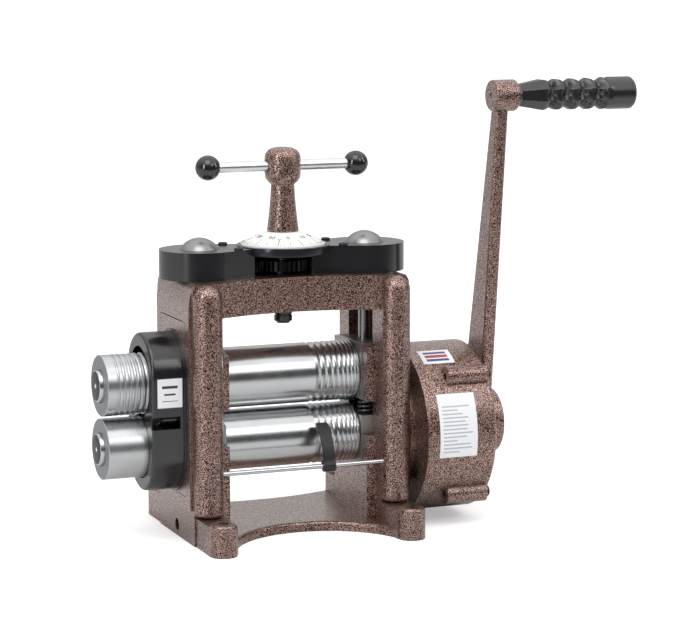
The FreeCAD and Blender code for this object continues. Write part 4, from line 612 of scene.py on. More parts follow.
class MILL_OT_castings(bpy.types.Operator):
    """Round the edges of the frame, the gearbox and the crank and paint them"""

    bl_idname = "mill.castings"
    bl_label = "Castings"

    def execute(self, context):
        for cad_node, name, body in (("frame", "frame_casting", "frame"),
                                     ("window_plate_left", "window_lid_left", "frame"),
                                     ("window_plate_right", "window_lid_right", "frame"),
                                     ("gearbox_body", "gearbox_drum", "frame"),
                                     ("gearbox_cover", "gearbox_lid", "frame"),
                                     ("crank_arm", "crank_casting", "crank")):
            piece = cast_from(cad_node, name)
            if cad_node == "frame":
                round_wall_tops(piece)
            eased(piece, sizes().lid_edge if "window" in name else sizes().casting_edge)
            dressed(piece, body, painted(), "hammered_paint", cad_node)
        return {"FINISHED"}


def open_head(cover):
    """Cut the opening below the dial ring into the head cover's front, down to the adjusting gears."""
    ring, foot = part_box("dial_ring")[0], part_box("gear_head_cover")[0].z
    left, right, back, over = -0.0349, 0.0190, -0.0165, 0.001
    tool = primitive("cube", "opening_tool", (right - left, back - ring.y, ring.z - foot + over), size=1.0,
                     location=((left + right) / 2, (ring.y + back) / 2, (foot - over + ring.z) / 2))
    return tidy_mesh(boolean(cover, tool))


def long_round(name, left, right, radius, foot, top):
    """A plate with round ends, upright and square to the rolls; foot and top are the middles of its ends."""
    plate = primitive("cylinder", name, vertices=TURN_STEPS, radius=radius, depth=right - left,
                      location=((left + right) / 2, 0, foot), rotation=(0, math.pi / 2, 0))
    for vertex in plate.data.vertices:
        if vertex.co.z > foot + MERGE:
            vertex.co.z += top - foot
    return plate


def case_ends():
    """The outer face's place and the middles of the gear case's lower and upper round end."""
    low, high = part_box("gear_cover")
    return low.x, low.z + CASE_LIP + CASE_HALF, high.z - CASE_LIP - CASE_HALF


def round_rim(case, width=0.003):
    """Round the outline of the case's outer face."""
    left, foot, top = case_ends()
    near_face, near_outline = 0.0001, 0.0002
    weights = case.data.attributes.new("bevel_weight_edge", "FLOAT", "EDGE")

    def on_rim(index):
        """Whether a corner lies on that outline."""
        spot = case.data.vertices[index].co
        reach = math.hypot(spot.y, spot.z - min(max(spot.z, foot), top))
        return abs(spot.x - left) < near_face and reach > CASE_HALF - near_outline

    for edge in case.data.edges:
        weights.data[edge.index].value = float(all(on_rim(index) for index in edge.vertices))
    return modified(case, "BEVEL", width=width, segments=4, limit_method="WEIGHT", loop_slide=False)


def close_case(case):
    """Fill the gear case's recess round the extension rolls, slot its sides between them, round its rim."""
    wall, deep, clearance = 0.0038, 0.0083, 0.0011
    travel = {"lower": (0.0, 0.0), "upper": (0.0022, 0.0051)}       # each roll's way down and up in its hole
    slot_left, slot_right, slot_down, slot_up, slot_in = 0.0015, 0.0115, 0.0078, 0.0033, 0.024
    left, foot, top = case_ends()
    face = long_round("case_face", left, left + deep, CASE_HALF - wall, foot, top)
    middles = []
    for word, (down, up) in travel.items():
        roll = f"{word}_extension_roll"
        middle = axis_of(roll).z
        middles.append(middle)
        boolean(face, long_round("face_tool", left - deep, left + 2 * deep, radius_of(roll) + clearance,
                                 middle - down, middle + up))
    boolean(case, face, "UNION")
    for side in (-1, 1):
        spot = (left + (slot_left + slot_right) / 2, side * (slot_in + CASE_HALF / 2),
                sum(middles) / 2 + (slot_up - slot_down) / 2)
        boolean(case, primitive("cube", "slot_tool", (slot_right - slot_left, CASE_HALF, slot_up + slot_down),
                                size=1.0, location=spot))
    return round_rim(tidy_mesh(case, flatten=True))


class MILL_OT_covers(bpy.types.Operator):
    """Round the edges of the black covers and give them their satin paint"""

    bl_idname = "mill.covers"
    bl_label = "Covers"

    def execute(self, context):
        for cad_node, name, shaped in (("gear_head_cover", "head_cover", open_head),
                                       ("gear_cover", "gear_case", close_case)):
            piece = eased(shaped(cast_from(cad_node, name)), sizes().cover_edge)
            dressed(piece, "frame", shared("satin_black"), "black_paint", cad_node)
        low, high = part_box("dial_ring")
        bore, rim, floor = 0.007, 0.0036, 0.0035
        inner = high.x - rim
        stations = [(low.z, bore), (low.z, high.x), (high.z, high.x), (high.z, inner), (low.z + floor, inner),
                    (low.z + floor, bore), (low.z, bore)]
        ring = eased(turned("dial_collar", stations, axis_of("dial_ring"), Z_AXIS), sizes().cover_edge)
        dressed(ring, "frame", shared("ring_black"), "black_paint", "dial_ring")
        return {"FINISHED"}


# ---- rolls ----

def wire_grooves(radius):
    """Corners of the V grooves, from the rolls' middle to the right."""
    size = sizes()
    corners = []
    middle = size.groove_first
    for n in range(size.groove_count):
        pitch = size.groove_pitch - n * size.groove_step
        half = (pitch - size.groove_land) / 2
        corners += [(middle - half, radius), (middle, radius - half), (middle + half, radius)]
        middle += pitch
    return corners


class MILL_OT_rolls(bpy.types.Operator):
    """Turn the two rolls with their wire grooves and journals"""

    bl_idname = "mill.rolls"
    bl_label = "Rolls"

    def execute(self, context):
        half, chamfer, journal, shaft, tail, gap = 0.065, 0.0008, 0.013, 0.011, 0.0085, 0.0002
        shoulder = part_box("lower_sync_gear")[0].x - gap
        radius = radius_of("lower_roll")
        for word in ("lower", "upper"):
            cad_node = f"{word}_roll"
            low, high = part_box(cad_node)
            right = min(high.x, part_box("planet_carrier")[0].x)
            stations = [(low.x, shaft), (shoulder, shaft), (shoulder, journal), (-half, journal),
                        (-half, radius - chamfer), (chamfer - half, radius), *wire_grooves(radius),
                        (half - chamfer, radius), (half, radius - chamfer), (half, journal), (right, journal)]
            if high.x > right:
                stations += [(right, tail), (high.x, tail)]
            lathed(f"{word}_working_roll", capped(stations), axis_of(cad_node), f"{word}_roll_set", cad_node,
                   "roll_steel", steps=128, angle=25, roughness=0.23)
        return {"FINISHED"}


def half_rounds(left, radius, steps=6):
    """Corners of the half-round grooves of the upper extension roll."""
    size = sizes()
    corners = []
    for n in range(size.half_round_count):
        middle = left + size.half_round_first + n * size.half_round_pitch
        deep = size.half_round_small + n * size.half_round_step
        for step in range(steps + 1):
            angle = math.pi * step / steps
            corners.append((middle - deep * math.cos(angle), radius - deep * math.sin(angle)))
    return corners


class MILL_OT_extension_rolls(bpy.types.Operator):
    """Turn the extension rolls at the left and the caps that hold them"""

    bl_idname = "mill.extension_rolls"
    bl_label = "Extension rolls"

    def execute(self, context):
        edge, seat_deep, bore, cap, gap = 0.0008, 0.002, 0.011, 0.0145, 0.0006
        dimple, deep, ease, sunk = 0.0026, 0.0018, 0.0016, 0.0012
        seat, face_rough = cap + gap, 0.42
        for word in ("lower", "upper"):
            cad_node, body = f"{word}_extension_roll", f"{word}_roll_set"
            low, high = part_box(cad_node)
            centre, radius = axis_of(cad_node), radius_of(cad_node)
            stations = [(low.x + seat_deep, bore), (low.x + seat_deep, seat), (low.x + gap, seat),
                        (low.x, seat + gap), (low.x, radius - edge), (low.x + edge, radius)]
            if word == "upper":
                stations += half_rounds(low.x, radius)
            stations += [(high.x - edge, radius), (high.x, radius - edge), (high.x, bore), stations[0]]
            lathed(f"{word}_side_roll", stations, centre, body, cad_node, "roll_steel", steps=128, angle=25,
                   roughness=0.3, face=(low.x + edge * 0.5, tuple(colours().faced_steel), face_rough))
            low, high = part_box(f"{word}_end_cap")
            front = low.x + sunk
            stations = [(front + deep, 0), (front + deep * 0.75, dimple * 0.6), (front, dimple),
                        (front, cap - ease), (front + ease * 0.3, cap - ease * 0.3), (front + ease, cap),
                        (high.x, cap), (high.x, 0)]
            lathed(f"{word}_end_screw", stations, centre, body, f"{word}_end_cap", roughness=0.24,
                   lines=1500.0, relief=0.00001,
                   face=(front + ease * 0.1, scaled(colours().burnished, 0.45), face_rough))
        return {"FINISHED"}


class MILL_OT_springs(bpy.types.Operator):
    """Wind the four springs that lift the upper bearing blocks"""

    bl_idname = "mill.springs"
    bl_label = "Springs"

    def execute(self, context):
        wire, radius, turns = sizes().spring_wire, sizes().spring_coil, sizes().spring_turns
        wire_sides, turn_steps = 12, 28
        low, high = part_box("carriage_springs")
        coil = primitive("circle", "spring", vertices=wire_sides, radius=wire, fill_type="NOTHING",
                         location=(radius, 0, 0), rotation=(math.pi / 2, 0, 0))
        modified(coil, "SCREW", angle=2 * math.pi, screw_offset=(high.z - low.z - 2 * wire) / turns,
                 iterations=turns, steps=turn_steps, render_steps=turn_steps, use_merge_vertices=True,
                 merge_threshold=MERGE)
        with editing(coil):
            bpy.ops.mesh.fill_holes(sides=0)
        tidy_mesh(coil)
        reach = radius + wire
        coils = [copied(coil, Matrix.Translation((x, y, low.z + wire)))
                 for x in (low.x + reach, high.x - reach) for y in (low.y + reach, high.y - reach)]
        removed(coil)
        springs = smoothed(joined("lifting_springs", coils), 60)
        springs.data.materials.append(shared("spring_steel"))
        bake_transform(springs)
        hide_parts("carriage_springs")
        return {"FINISHED"}


# ---- head and handle ----

class MILL_OT_adjusting_screws(bpy.types.Operator):
    """Turn the two adjusting screws with their thread and domed heads"""

    bl_idname = "mill.adjusting_screws"
    bl_label = "Adjusting screws"

    def execute(self, context):
        tip, tip_long, thread, thread_deep = 0.0056, 0.038, 0.012, 0.0006
        head_tall, edge, dome_steps = 0.018, 0.008, 12
        pitch, root = sizes().thread_pitch, thread - thread_deep
        for word in ("left", "right"):
            cad_node, body = f"adjusting_screw_{word}", f"pressure_screw_{word}"
            low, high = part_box(cad_node)
            start, head = low.z + tip_long, high.z - head_tall
            stations = [(low.z, tip), (start, tip), (start, root)]
            for n in range(int((head - start) / pitch)):
                stations += [(start + (n + 0.5) * pitch, thread), (start + (n + 1) * pitch, root)]
            dome = (high.x - low.x) / 2
            crown = high.z - (head + edge)
            sphere = (dome * dome + crown * crown) / (2 * crown)
            stations += [(head, thread), (head, dome)]
            for step in range(dome_steps + 1):
                angle = math.asin(dome / sphere) * (1 - step / dome_steps)
                stations.append((high.z - sphere + sphere * math.cos(angle), sphere * math.sin(angle)))
            lathed(f"{body}_turned", [(low.z, 0), *stations], axis_of(cad_node), body, cad_node, axis=Z_AXIS,
                   finish=f"{body}_steel", colour=scaled(colours().turned_steel, 0.6), roughness=0.3,
                   lines=1300.0, relief=0.00001)
        return {"FINISHED"}


def handle_stem():
    """The painted stem: a waisted cone under a rounded head, sunk where the bar enters."""
    foot, neck, neck_rise, bow, waist_steps = 0.0145, 0.0106, 0.0425, 0.0005, 8
    foot_ease = ((0, 0.0012), (0.0004, 0.0004), (0.0014, 0))        # rise from the foot, inset
    shoulder = ((0.0026, 0.0026), (0.0062, 0.0004), (0.0095, 0))    # rise from the neck, inset
    crown = ((0.0088, 0), (0.0054, 0.0010), (0.0024, 0.0034), (0.0006, 0.0074), (0, 0.0105))    # from the top
    sink = ((0.0105, 0.0002), (0.0135, 0.0003), (0.0172, 0.0036), (0.02, 0.0036))   # along the bar, widening
    low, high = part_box("handle_stem")
    head, neck_z, waist_z = (high.x - low.x) / 2, low.z + neck_rise, low.z + foot_ease[-1][0]
    stations = [(low.z + rise, foot - inset) for rise, inset in foot_ease]
    for step in range(1, waist_steps + 1):
        share = step / waist_steps
        stations.append((part_way(waist_z, neck_z, share),
                         part_way(foot, neck, share) - bow * math.sin(math.pi * share)))
    stations += [(neck_z + rise, head - inset) for rise, inset in shoulder]
    stations += [(high.z - drop, head - inset) for drop, inset in crown]
    stem = turned("handle_stem_cast", capped(stations), axis_of("handle_stem"), Z_AXIS)
    for side in (-1, 1):
        hole = [(side * along, radius_of("handle_bar") + wider) for along, wider in sink]
        boolean(stem, turned("bar_sink", capped(hole), axis_of("handle_bar"), steps=48))
    return dressed(smoothed(stem, 40), "t_handle", painted(), "hammered_paint", "handle_stem")


def handle_balls():
    """Two black balls, each flat towards the bar and bored for it."""
    flat, steps, mouth, mouth_wider, bore_deep = 0.0062, 26, 0.0008, 0.0002, 0.004
    low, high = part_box("handle_balls")
    radius, bar = radius_of("handle_balls"), radius_of("handle_bar")
    inner = math.sqrt(radius * radius - flat * flat)
    angles = [(math.pi - math.asin(flat / radius)) * step / steps for step in range(1, steps + 1)]
    balls = []
    for side, middle in ((-1, low.x + radius), (1, high.x - radius)):
        stations = [(middle + side * radius * math.cos(angle), radius * math.sin(angle)) for angle in angles]
        stations += [(middle - side * (inner - mouth), bar + mouth_wider),
                     (middle - side * (inner - bore_deep), bar), (middle - side * (inner - bore_deep), 0)]
        balls.append(turned(f"ball{side}", [(middle + side * radius, 0), *stations], axis_of("handle_bar")))
    knobs = smoothed(joined("bar_knobs", balls), 40)
    return dressed(knobs, "t_handle", shared("ball_black"), "black_plastic", "handle_balls")


def spindle_nuts():
    """Two nuts on the spindle's end, parted by a groove."""
    bore, groove, groove_floor, foot_ease, top_ease = 0.006, 0.0009, 0.00036, 0.0008, 0.0006
    low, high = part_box("spindle_nut")
    centre, out = axis_of("spindle_nut"), (high.x - low.x) / 2
    stations = [(low.z, bore), (low.z, out - foot_ease), (low.z + foot_ease, out), (centre.z - groove, out),
                (centre.z - groove_floor, out - groove), (centre.z + groove_floor, out - groove),
                (centre.z + groove, out), (high.z - top_ease, out), (high.z, out - top_ease), (high.z, bore),
                (low.z, bore)]
    return lathed("spindle_lock_nuts", stations, centre, "t_handle", "spindle_nut", axis=Z_AXIS,
                  finish="spindle_nut_steel", colour=colours().burnished, roughness=0.3)


class MILL_OT_handle(bpy.types.Operator):
    """Shape the T-handle: painted stem, steel bar, two balls and the nut below"""

    bl_idname = "mill.handle"
    bl_label = "T-handle"

    def execute(self, context):
        handle_stem()
        reach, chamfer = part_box("handle_bar")[1].x, 0.0006
        lathed("cross_bar", rod_stations(-reach, reach, radius_of("handle_bar"), chamfer),
               axis_of("handle_bar"), "t_handle", "handle_bar", steps=64, angle=35,
               colour=scaled(colours().roll_steel, 1.3), roughness=0.3)
        handle_balls()
        spindle_nuts()
        return {"FINISHED"}


def cone_place(angle, share):
    """A mark's place on the dial's cone: at an angle from the front, a share of the way up."""
    lift = 0.00005
    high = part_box("dial")[1]
    outward = Vector((math.sin(angle), -math.cos(angle), 0))
    right = Vector((math.cos(angle), math.sin(angle), 0))
    up = (outward * (DIAL_NECK - high.x) + Z_AXIS * DIAL_RISE).normalized()
    normal = right.cross(up)
    spot = (outward * part_way(high.x, DIAL_NECK, share)
            + Z_AXIS * part_way(high.z - DIAL_RISE, high.z, share) + normal * lift)
    return Matrix.Translation(spot) @ Matrix((right, up, normal)).transposed().to_4x4()


def dial_number(figure, place):
    """A raised number on the dial."""
    tall, raised, curve_steps = 0.0066, 0.00006, 3
    clear_selection()
    bpy.ops.object.text_add()
    text = bpy.context.active_object
    text.data.body = str(figure)
    text.data.size = tall
    text.data.align_x = "CENTER"
    text.data.align_y = "CENTER"
    text.data.extrude = raised
    text.data.resolution_u = curve_steps
    only(text)
    bpy.ops.object.convert(target="MESH")
    number = named("number")
    number.data.transform(place)
    return number


def dial_marks():
    """Short and long marks, a pointer of two strokes and ten numbers."""
    divisions = sizes().dial_divisions
    first, foot, thick = math.radians(-9), 0.02, 0.00012
    short, middling, full = (0.13, 0.00024), (0.3, 0.0004), (0.46, 0.0005)      # share of the cone, width
    stroke, stroke_lean, stroke_apart, stroke_up, number_up = (0.0005, 0.0032), 0.42, 0.0007, 0.52, 0.62
    slant = math.hypot(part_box("dial")[1].x - DIAL_NECK, DIAL_RISE)
    block = primitive("cube", "mark", size=1.0)
    marks = []
    for n in range(divisions):
        long, wide = full if n % 10 == 5 else middling if n % 5 == 0 else short
        place = cone_place(2 * math.pi * n / divisions + first, foot + long / 2)
        marks.append(copied(block, place @ Matrix.Diagonal((wide, long * slant, thick, 1))))
    for lean in (-1, 1):
        place = cone_place(first - 10 * math.pi / divisions, stroke_up)
        marks.append(copied(block, place @ Matrix.Translation((-lean * stroke_apart, 0, 0))
                            @ Matrix.Rotation(lean * stroke_lean, 4, "Z")
                            @ Matrix.Diagonal((*stroke, thick, 1))))
    marks += [dial_number(n * 10, cone_place(first + 2 * math.pi * n / 10, number_up)) for n in range(10)]
    removed(block)
    return dressed(joined("dial_marks", marks), "t_handle", shared("dial_ink"), "dial_white")


class MILL_OT_dial(bpy.types.Operator):
    """Turn the white dial cone and set its marks and numbers"""

    bl_idname = "mill.dial"
    bl_label = "Dial"

    def execute(self, context):
        low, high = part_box("dial")
        edge, shoulder = high.x, high.z - DIAL_RISE
        bore, ease = 0.006, 0.0004
        stations = [(low.z, bore), (low.z, edge), (shoulder - ease, edge),
                    (shoulder + ease * 0.2, edge - ease * 0.5), (high.z - ease * 0.3, DIAL_NECK + ease),
                    (high.z, DIAL_NECK), (high.z, bore), (low.z, bore)]
        cone = smoothed(turned("dial_cone", stations, axis_of("dial"), Z_AXIS, steps=128), 20)
        dressed(cone, "t_handle", shared("dial_paint"), "dial_white", "dial")
        dial_marks()
        return {"FINISHED"}


# ---- grip, guide, screws and stickers ----

class MILL_OT_grip(bpy.types.Operator):
    """Shape the eight-sided moulded grip with its finger swells"""

    bl_idname = "mill.grip"
    bl_label = "Grip"

    def execute(self, context):
        start, cone, cone_end, tail, tail_ease, chamfer = 0.0108, 0.0215, 0.0015, 0.0905, 0.0012, 0.0022
        scoop, scoop_form, pitch, wave, steps, around = 0.0056, 1.1, 0.0160, 0.0019, 44, 32
        fade_in, fade_out, tail_slope = 8, 14, 0.8
        low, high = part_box("grip")
        centre, thick, length = axis_of("grip"), radius_of("grip"), high.x - low.x
        sides = sizes().grip_sides
        swells = [part_way(cone, tail, n / steps) for n in range(steps + 1)]
        places = [0.0, cone / 2, cone - cone_end, *swells, tail + tail_ease, length - chamfer,
                  length - chamfer * 0.3, length]

        def radius_at(place, angle):
            """The grip's radius: an eight-sided cone, scooped swells and a round tail."""
            off = (angle + math.pi / sides) % (2 * math.pi / sides) - math.pi / sides
            flat = math.cos(math.pi / sides) / math.cos(off)
            if place < cone:
                return part_way(start, thick, place / cone) * flat
            if place > tail:
                return thick - max(0.0, place - (length - chamfer)) * tail_slope
            share = (place - cone) / (tail - cone)
            turn = (place - cone + wave * math.cos(sides * angle / 2)) / pitch
            dip = (0.5 - 0.5 * math.cos(2 * math.pi * turn)) ** scoop_form
            dip *= min(1.0, fade_in * share, fade_out * (1 - share)) * (0.75 + 0.25 * math.cos(sides * off))
            return thick * part_way(flat, 1, share) - scoop * dip

        piece = primitive("circle", "grip_moulding", vertices=around, radius=start, fill_type="NGON",
                          location=(low.x, centre.y, centre.z), rotation=(0, math.pi / 2, 0))
        with editing(piece):
            for before, after in zip(places, places[1:]):
                bpy.ops.mesh.extrude_region_move(TRANSFORM_OT_translate={"value": (after - before, 0, 0)})
        for vertex in piece.data.vertices:
            place = min(places, key=lambda entry: abs(entry - (vertex.co.x - low.x)))
            angle = math.atan2(vertex.co.z - centre.z, vertex.co.y - centre.y)
            radius = radius_at(place, angle)
            vertex.co.y = centre.y + radius * math.cos(angle)
            vertex.co.z = centre.z + radius * math.sin(angle)
        piece = eased(tidy_mesh(piece), 0.0004, angle=30)
        dressed(piece, "crank_grip", shared("grip_black"), "black_plastic", "grip")
        return {"FINISHED"}


class MILL_OT_guide(bpy.types.Operator):
    """Round the edges of the wire guide and polish its rod"""

    bl_idname = "mill.guide"
    bl_label = "Wire guide"

    def execute(self, context):
        edge, chamfer = 0.0005, 0.0004
        blade = eased(cast_from("wire_guide", "guide_blade"), edge)
        dressed(blade, "guide", shared("guide_metal"), "guide_metal", "wire_guide")
        low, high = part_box("guide_rod")
        lathed("guide_bar_rod", rod_stations(low.x, high.x, radius_of("guide_rod"), chamfer),
               axis_of("guide_rod"), "guide_bar", "guide_rod", steps=48, angle=35, finish="guide_rod_steel",
               roughness=0.2)
        return {"FINISHED"}


def socket_screw(name, stations, spot, axis, socket, deep):
    """A turned screw whose six-sided socket is sunk from its spot against the axis."""
    screw = turned(name, stations, Vector(spot), axis, steps=32)
    return boolean(screw, primitive("cylinder", "socket_tool", vertices=6, radius=socket, depth=2 * deep,
                                    location=spot, rotation=axis.to_track_quat("Z", "Y").to_euler()))


def screw_set(name, screws, cad_node):
    """Several black screws as one piece."""
    piece = smoothed(joined(name, screws))
    return dressed(piece, "frame", shared("screw_black"), "screw_black", cad_node)


def head_screws():
    """Four button screws on the head cover."""
    head, button, shank, socket, deep = 0.0043, 0.0022, 0.0024, 0.0016, 0.0012
    upright, crown_in, steps = 0.35, 0.42, 6        # shares of the button's height and of its radius
    low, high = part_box("head_screws")
    foot = high.z - button
    stations = [(low.z, shank), (foot, shank), (foot, head), (foot + button * upright, head)]
    for step in range(1, steps + 1):
        angle = math.pi / 2 * step / steps
        stations.append((foot + button * part_way(upright, 1, math.sin(angle)),
                         head * (1 - crown_in * (1 - math.cos(angle)))))
    screw = socket_screw("button_screw", capped(stations), (0, 0, high.z), Z_AXIS, socket, deep)
    screws = [copied(screw, Matrix.Translation((x, y, 0))) for x in (low.x + head, high.x - head)
              for y in (low.y + head, high.y - head)]
    removed(screw)
    return screw_set("cover_button_screws", screws, "head_screws")


def case_screws():
    """Two screws in the gear case's face."""
    head, rise, shank, ease, socket, deep = 0.0034, 0.0022, 0.002, 0.0004, 0.0014, 0.0013
    low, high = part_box("gear_cover_screws")
    stations = capped([(low.x, head - ease), (low.x + ease, head), (low.x + rise, head),
                       (low.x + rise, shank), (high.x, shank)])
    screws = [socket_screw("case_screw", stations, (low.x, y, (low.z + high.z) / 2), X_AXIS, socket, deep)
              for y in (low.y + head, high.y - head)]
    return screw_set("gear_case_screws", screws, "gear_cover_screws")


def lug_screws():
    """Four cap screws in the gearbox's lugs."""
    head, rise, shank, ease, socket, deep = 0.005, 0.004, 0.0032, 0.0005, 0.0024, 0.0022
    low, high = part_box("gearbox_screws")
    stations = capped([(low.x, shank), (high.x - rise, shank), (high.x - rise, head), (high.x - ease, head),
                       (high.x, head - ease)])
    screws = [socket_screw("lug_screw", stations, (high.x, y, z), X_AXIS, socket, deep)
              for y in (low.y + head, high.y - head) for z in (low.z + head, high.z - head)]
    return screw_set("gearbox_cap_screws", screws, "gearbox_screws")


class MILL_OT_fasteners(bpy.types.Operator):
    """Turn the screws with their sockets and the crank's ring nut"""

    bl_idname = "mill.fasteners"
    bl_label = "Fasteners"

    def execute(self, context):
        head_screws()
        case_screws()
        lug_screws()
        low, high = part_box("crank_nut")
        out, bore, ease, bore_ease = radius_of("crank_nut"), 0.010, 0.0008, 0.0006
        stations = [(low.x, bore), (low.x, out), (high.x - ease, out), (high.x, out - ease),
                    (high.x, bore + bore_ease), (high.x - bore_ease, bore), (low.x, bore)]
        lathed("crank_ring_nut", stations, axis_of("crank_nut"), "crank", "crank_nut",
               finish="crank_nut_steel", colour=colours().turned_steel, roughness=0.3)
        return {"FINISHED"}


def sheet(name, cad_node, material, across, up, spot_of):
    """A thin sheet; spot_of gives a corner's place from its shares across and up, as on the UV map."""
    piece = primitive("grid", name, x_subdivisions=across, y_subdivisions=up, size=1.0, calc_uvs=True)
    for vertex in piece.data.vertices:
        vertex.co = spot_of(vertex.co.x + 0.5, vertex.co.y + 0.5)
    modified(tidy_mesh(piece), "SOLIDIFY", thickness=STICKER_THICK, offset=0.0)
    return dressed(smoothed(piece, 30), "frame", material, "sticker", cad_node)


class MILL_OT_stickers(bpy.types.Operator):
    """Lay the plain stickers on the gear cover and the gearbox"""

    bl_idname = "mill.stickers"
    bl_label = "Stickers"

    def execute(self, context):
        axis, drum = axis_of("ring_gear"), DRUM_RADIUS + STICKER_LIFT

        def on_drum(x_ends, turn_ends):
            """Corners that lie on the gearbox, between two places on its axis and two angles round it."""
            def spot_of(across, up):
                turn = part_way(*turn_ends, up)
                return Vector((part_way(*x_ends, across), axis.y - drum * math.cos(turn),
                               axis.z + drum * math.sin(turn)))
            return spot_of

        low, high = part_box("gearbox_plate_label")
        turns = [math.asin((z - axis.z) / drum) for z in (low.z, high.z)]
        sheet("gearbox_rules_sticker", "gearbox_plate_label", sticker("ruled_sticker", ruled), 6, 28,
              on_drum((low.x, high.x), turns))
        low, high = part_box("gearbox_flag_label")
        turns = [math.acos(-(y - axis.y) / drum) for y in (low.y, high.y)]
        sheet("gearbox_banded_sticker", "gearbox_flag_label", sticker("banded_sticker", banded), 6, 16,
              on_drum((low.x, high.x), turns))
        low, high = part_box("gear_cover_label")
        bend = case_ends()[2]

        def on_case(across, up):
            """Corners that lie on the gear case's front and bend with its upper end."""
            run = part_way(low.z, high.z, up)
            turn = max(0.0, run - bend) / CASE_HALF
            return Vector((part_way(low.x, high.x, across), -(CASE_HALF + STICKER_LIFT) * math.cos(turn),
                           min(run, bend) + CASE_HALF * math.sin(turn)))

        sheet("gear_case_sticker", "gear_cover_label", sticker("framed_sticker", framed), 4, 30, on_case)
        return {"FINISHED"}


class MILL_OT_finishes(bpy.types.Operator):
    """Give the solids that stay as they are their finishes"""

    bl_idname = "mill.finishes"
    bl_label = "Inner finishes"

    def execute(self, context):
        finishes = {
            "block_iron": ("lower_block_left", "lower_block_right", "upper_block_left", "upper_block_right"),
            "bronze": ("screw_nut_left", "screw_nut_right", "spindle_bush", "lower_bushes", "upper_bushes",
                       "crank_bush"),
            "gear_steel": ("lower_sync_gear", "upper_sync_gear", "ring_gear", "planet_gear_1",
                           "planet_gear_2", "planet_gear_3", "planet_carrier", "sun_shaft"),
            "gear_black": ("centre_gear", "idler_gear_left", "idler_gear_right", "screw_gear_left",
                           "screw_gear_right"),
            "burnished_steel": ("idler_pins", "handle_spindle", "grip_spindle"),
            "screw_black": ("gearbox_flange_screws",),
        }
        for name, cad_nodes in finishes.items():
            for cad_node in cad_nodes:
                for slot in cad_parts[cad_node].material_slots:
                    slot.material = shared(name)
        return {"FINISHED"}


# ---- stage ----

AIM = Vector((0.06059, 0.0, 0.19507))
VIEW_TURN, VIEW_RISE, VIEW_DISTANCE = math.radians(-21.829), math.radians(8.419), 2.2855
LENS, FILM = 129.88, 36.0
WHITE = (1, 1, 1, 1)
LAMPS = {       # turn, rise, distance, width, height, radiance
    "strip_left": (-58, 16, 2.4, 0.32, 1.5, 9.5),
    "strip_right": (64, 26, 2.6, 0.45, 1.4, 4.8),
    "key": (-28, 60, 2.4, 1.5, 1.5, 2.2),
    "front_right": (24, 33, 2.4, 0.8, 0.9, 2.4),
}


def stand(turn, rise, distance):
    """Where something stands that looks at the mill, and its turn; turn 0 is in front, angles in radians."""
    direction = Vector((math.sin(turn) * math.cos(rise), -math.cos(turn) * math.cos(rise), math.sin(rise)))
    return {"location": AIM + direction * distance, "rotation": direction.to_track_quat("Z", "Y").to_euler()}


def lamp(name, turn, rise, distance, wide, tall, radiance):
    """A rectangular lamp that looks at the mill."""
    clear_selection()
    bpy.ops.object.light_add(type="AREA", **stand(math.radians(turn), math.radians(rise), distance))
    light = named(name).data
    light.shape = "RECTANGLE"
    light.size, light.size_y = wide, tall
    light.energy = radiance * math.pi * wide * tall


def studio_world():
    """White all round; the front, where nothing is lit, is darker for what the mill reflects."""
    level, front_drop, top_gain = 0.6, 0.55, 0.65
    front_ends, low_ends, high_ends = (-0.75, 0.35), (0.25, 0.7), (0.3, 0.9)    # where each grows or fades
    world = bpy.data.worlds.new("studio")
    tree, surface = new_tree(world, "OutputWorld")
    parts = parts_of(tree, coordinate(tree, "Generated"))
    front = mapped(tree, product(tree, parts[1], -1.0), *front_ends, kind="SMOOTHSTEP")
    low = mapped(tree, parts[2], *low_ends, 1.0, 0.0, "SMOOTHSTEP")
    high = mapped(tree, parts[2], *high_ends, 0.0, top_gain, "SMOOTHSTEP")
    shade = product(tree, front, low, front_drop)
    strength = maths(tree, "ADD", maths(tree, "SUBTRACT", level, shade), high)
    lit = node(tree, "Background", {"Color": WHITE, "Strength": strength})
    seen = node(tree, "Background", {"Color": WHITE, "Strength": 1.0})
    mix = node(tree, "MixShader", {"Fac": node(tree, "LightPath").outputs["Is Camera Ray"], 1: lit.outputs[0],
                                   2: seen.outputs[0]})
    tree.links.new(mix.outputs[0], surface)
    return world


def floor_finish():
    """Pale floor: near white to the camera, with the mill's shadow; for the mill, its colour is darker
    towards the far front, a painted shade for the unlit front.
    """
    painted_shade_from, painted_shade_end, least, mirrored, pale, white, glow = -1.4, -0.35, 0.1, 0.78, 0.8, 0.9, 0.38
    made = bpy.data.materials.new("studio_floor")
    tree, surface = new_tree(made, "OutputMaterial")
    path = node(tree, "LightPath").outputs
    back = parts_of(tree, coordinate(tree, "Object"))[1]
    # painted shade: the floor's grey falls towards the front, down to the least level, for the light it
    # throws on the mill and for its reflections in the mill
    lit = mapped(tree, back, painted_shade_from, painted_shade_end, least, 1.0, "SMOOTHSTEP")
    share = maths(tree, "MAXIMUM", product(tree, lit, mirrored), path["Is Camera Ray"])

    def diffuse(level):
        """A grey floor of a level that changes over its length."""
        colour = node(tree, "CombineColor", {name: level for name in ("Red", "Green", "Blue")})
        return node(tree, "BsdfDiffuse", {"Color": colour.outputs[0]}).outputs[0]

    # both the floor that lights the mill and the floor it mirrors carry that painted shade; the camera sees
    # it white
    plain, bright = diffuse(product(tree, lit, pale)), diffuse(product(tree, share, white))
    shine = node(tree, "Emission", {"Color": WHITE, "Strength": product(tree, path["Is Camera Ray"], glow)})
    seen = node(tree, "AddShader", {0: bright, 1: shine.outputs[0]}).outputs[0]
    seen_ray = maths(tree, "MAXIMUM", path["Is Camera Ray"], path["Is Glossy Ray"])
    mix = node(tree, "MixShader", {"Fac": seen_ray, 1: plain, 2: seen})
    tree.links.new(mix.outputs[0], surface)
    return made


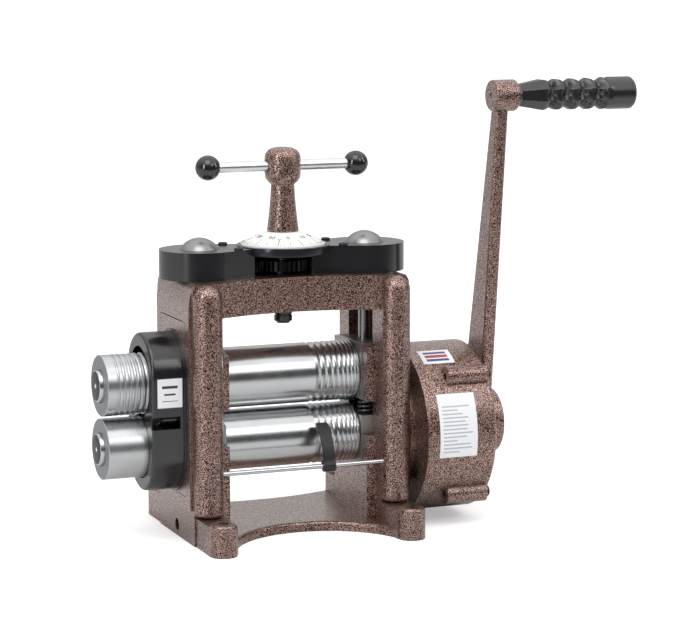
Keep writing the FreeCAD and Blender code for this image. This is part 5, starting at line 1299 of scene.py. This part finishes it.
class MILL_OT_stage(bpy.types.Operator):
    """Set the floor, the studio light and the camera"""

    bl_idname = "mill.stage"
    bl_label = "Stage"

    def execute(self, context):
        scene = context.scene
        floor = primitive("circle", "floor", vertices=96, radius=40.0, fill_type="NGON")
        floor.data.materials.append(floor_finish())
        scene.world = studio_world()
        for name, settings in LAMPS.items():
            lamp(name, *settings)
        bpy.ops.object.camera_add(**stand(VIEW_TURN, VIEW_RISE, VIEW_DISTANCE))
        camera = context.active_object
        camera.data.lens, camera.data.sensor_width, camera.data.sensor_fit = LENS, FILM, "HORIZONTAL"
        camera.data.clip_start, camera.data.clip_end = 0.1, 200.0
        scene.camera = camera
        scene.view_settings.view_transform = "Standard"
        return {"FINISHED"}


# ---- panel and registration ----

OPERATORS = (MILL_OT_castings, MILL_OT_covers, MILL_OT_rolls, MILL_OT_extension_rolls, MILL_OT_springs,
             MILL_OT_adjusting_screws, MILL_OT_handle, MILL_OT_dial, MILL_OT_grip, MILL_OT_guide,
             MILL_OT_fasteners, MILL_OT_stickers, MILL_OT_finishes, MILL_OT_stage)


class MILL_PT_panel(bpy.types.Panel):
    """The mill's sizes, colours and pieces"""

    bl_idname = "MILL_PT_panel"
    bl_label = "Rolling Mill"
    bl_space_type = "VIEW_3D"
    bl_region_type = "UI"
    bl_category = "Rolling Mill"

    def draw(self, context):
        for group in (context.scene.mill_sizes, context.scene.mill_colours):
            box = self.layout.box()
            for name in group.__annotations__:
                box.prop(group, name)
        for operator in OPERATORS:
            self.layout.operator(operator.bl_idname)


CLASSES = (MillSizes, MillColours, *OPERATORS, MILL_PT_panel)


def register():
    for entry in CLASSES:
        bpy.utils.register_class(entry)
    bpy.types.Scene.mill_sizes = PointerProperty(type=MillSizes)
    bpy.types.Scene.mill_colours = PointerProperty(type=MillColours)


def unregister():
    del bpy.types.Scene.mill_colours
    del bpy.types.Scene.mill_sizes
    for entry in reversed(CLASSES):
        bpy.utils.unregister_class(entry)


def main():
    """Register the panel and build every piece in order."""
    register()
    for operator in OPERATORS:
        group, action = operator.bl_idname.split(".")
        getattr(getattr(bpy.ops, group), action)()


if __name__ == "__main__":
    main()
